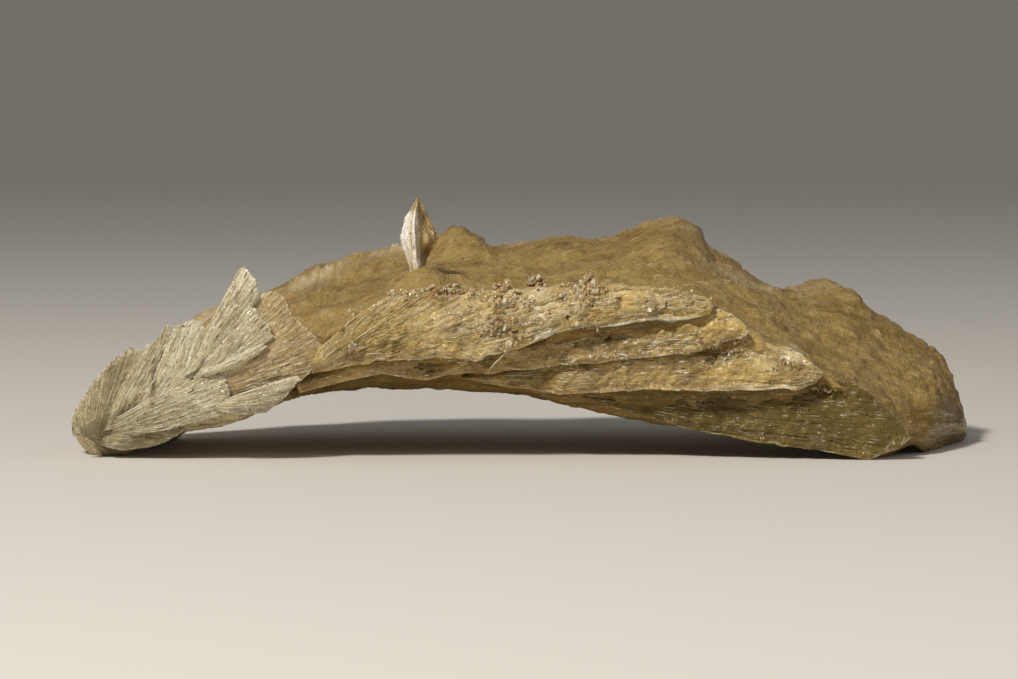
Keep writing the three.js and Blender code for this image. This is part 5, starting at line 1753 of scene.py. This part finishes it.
@dataclass
class Studio:
    """Pale floor that rises far away, soft lights, pale surroundings and the camera."""

    floor_radius: float = 3.0
    flat_radius: float = 0.9
    lens: float = 165.3
    distance: float = 0.300
    elevation: float = math.radians(3.0)
    target: Triple = (-0.0012, -0.00095, 0.00685)
    floor_rings: int = 60
    floor_sides: int = 128
    floor_rise: float = 0.55
    floor_colour: Colour = (0.75, 0.725, 0.685, 1)
    sky_colour: Colour = (1.0, 0.98, 0.95, 1)
    sky_strength: float = 0.22
    lamps: tuple[Lamp, ...] = (
        Lamp("key", (-0.20, -0.30, 0.34), 0.07, 2.0, (1.0, 0.95, 0.87)),
        Lamp("fill", (0.30, -0.30, 0.20), 0.25, 0.15, (1.0, 0.96, 0.9)),
    )

    def floor(self) -> None:
        """A round dish: flat near the specimen, then rising with the square of the distance past that."""
        radius = np.concatenate([[0.0], np.geomspace(0.02, self.floor_radius, self.floor_rings)])[:, None]
        turn = np.linspace(0, 2 * np.pi, self.floor_sides, endpoint=False)
        rise = self.floor_rise * np.maximum(radius - self.flat_radius, 0) ** 2
        rings = np.stack([radius * np.cos(turn), radius * np.sin(turn), rise + 0 * turn], -1)
        mesh = bpy.data.meshes.new("floor")
        quads = grid_quads(len(radius), self.floor_sides)
        mesh.from_pydata(rings.reshape(-1, 3).tolist(), [], quads.reshape(-1, 4).tolist())
        mesh.polygons.foreach_set("use_smooth", np.ones(len(mesh.polygons), bool))
        sheet = Sheet("floor")
        shader = sheet.node("BsdfPrincipled", None, Base_Color=self.floor_colour, Roughness=0.9)
        sheet.tree.links.new(shader.outputs[0], sheet.output.inputs["Surface"])
        mesh.materials.append(sheet.material)
        floor = bpy.data.objects.new("floor", mesh)
        bpy.context.scene.collection.objects.link(floor)

    def light(self, lamp: Lamp) -> None:
        """Puts one light into the scene, aimed at the specimen.

        Args:
            lamp: the light's sizes.
        """
        data = bpy.data.lights.new(lamp.name, "AREA")
        data.size = lamp.size
        data.energy = lamp.power
        data.color = lamp.colour
        light = bpy.data.objects.new(lamp.name, data)
        light.location = lamp.place
        aim = np.array(self.target) - np.array(lamp.place)
        light.rotation_euler = Vector(aim.tolist()).to_track_quat("-Z", "Y").to_euler()
        bpy.context.scene.collection.objects.link(light)

    def camera(self) -> None:
        """The camera, looking slightly down at the front."""
        data = bpy.data.cameras.new("camera")
        data.lens = self.lens
        data.sensor_width = 36.0
        data.clip_start = 0.01
        camera = bpy.data.objects.new("camera", data)
        x, y, z = self.target
        camera.location = (
            x, y - self.distance * math.cos(self.elevation), z + self.distance * math.sin(self.elevation)
        )
        camera.rotation_euler = (math.pi / 2 - self.elevation, 0, 0)
        bpy.context.scene.collection.objects.link(camera)
        bpy.context.scene.camera = camera

    def build(self) -> None:
        """Sets the stage."""
        self.camera()
        self.floor()
        for lamp in self.lamps:
            self.light(lamp)
        world = bpy.data.worlds.new("surroundings")
        world.use_nodes = True
        world.node_tree.nodes["Background"].inputs["Color"].default_value = self.sky_colour
        world.node_tree.nodes["Background"].inputs["Strength"].default_value = self.sky_strength
        bpy.context.scene.world = world
        bpy.context.scene.view_settings.view_transform = "Standard"


def main() -> None:
    """Builds the stage and every piece of the specimen, in order."""
    logging.basicConfig(level=logging.INFO, format="%(message)s")
    np.seterr(over="ignore")
    Studio().build()
    crust = Crust()
    # its stain colour also colours the painted shade on the underside and near the base
    crust.build(MineralFinish(
        "crust", pale=(0.80, 0.70, 0.47, 1), stain_and_shade=(0.13, 0.075, 0.012, 1), threads=0.25, glints=0.3,
        coat=0.05, shine=0.15,
    ))
    fan, shingles = Fan(), Shingles()
    brown = MineralFinish(
        "brown_fan", body=(0.52, 0.38, 0.16, 1), deep=(0.28, 0.17, 0.055, 1), pale=(0.90, 0.76, 0.48, 1),
        threads=0.6, streak_depth=0.2, glints=1.0,
    )
    # its stain colour also colours the painted shade on the fan's lower part
    silver = MineralFinish(
        "fan", body=(0.44, 0.36, 0.185, 1), deep=(0.25, 0.18, 0.07, 1), pale=(0.88, 0.83, 0.64, 1),
        stain_and_shade=(0.12, 0.08, 0.025, 1), gaps=0.5, glints=1.0, coat=0.4, see_in=0.35,
    )
    fan.build(silver.build(), brown.build())
    amber = MineralFinish(
        "shingles", body=(0.60, 0.42, 0.13, 1), pale=(0.88, 0.76, 0.47, 1), threads=0.45, gaps=0.75,
        glints=1.0, see_in=0.35, coat=0.12, streak_depth=0.17, grain_depth=0.045,
    )
    # the front sheet's finish, darker than the shingles' as painted shade
    low = MineralFinish(
        "low_sheet_painted_shade", body=(0.17, 0.12, 0.028, 1), deep=(0.085, 0.052, 0.011, 1), pale=(0.52, 0.39, 0.18, 1),
        threads=0.2, gaps=0.4, glints=0.25, see_in=0.35, coat=0.1, shine=0.2,
    )
    shingles.build(amber.build(), low.build())
    white = MineralFinish(
        "standing_crystal", body=(0.70, 0.52, 0.23, 1), pale=(0.97, 0.93, 0.85, 1), streaks=5.0,
        streak_depth=0.06,
    )
    StandingCrystal().build(white.build())
    blades = {blade.name: blade for blade in fan.blades + shingles.blades}
    sandy = MineralFinish(
        "grains", body=(0.62, 0.43, 0.17, 1), stain_and_shade=(0.26, 0.115, 0.04, 1), pale=(0.86, 0.77, 0.56, 1),
        coat=0.5,
    )
    GrainCrust().build([crust.points] + [blade.front for blade in blades.values()], sandy.build())
    bright = MineralFinish("splinters", body=(0.60, 0.46, 0.22, 1), roughness=0.2, coat=0.5).build()
    Splinters().build(blades, bright)
    StrayNeedle().build(bright)


if __name__ == "__main__":
    main()
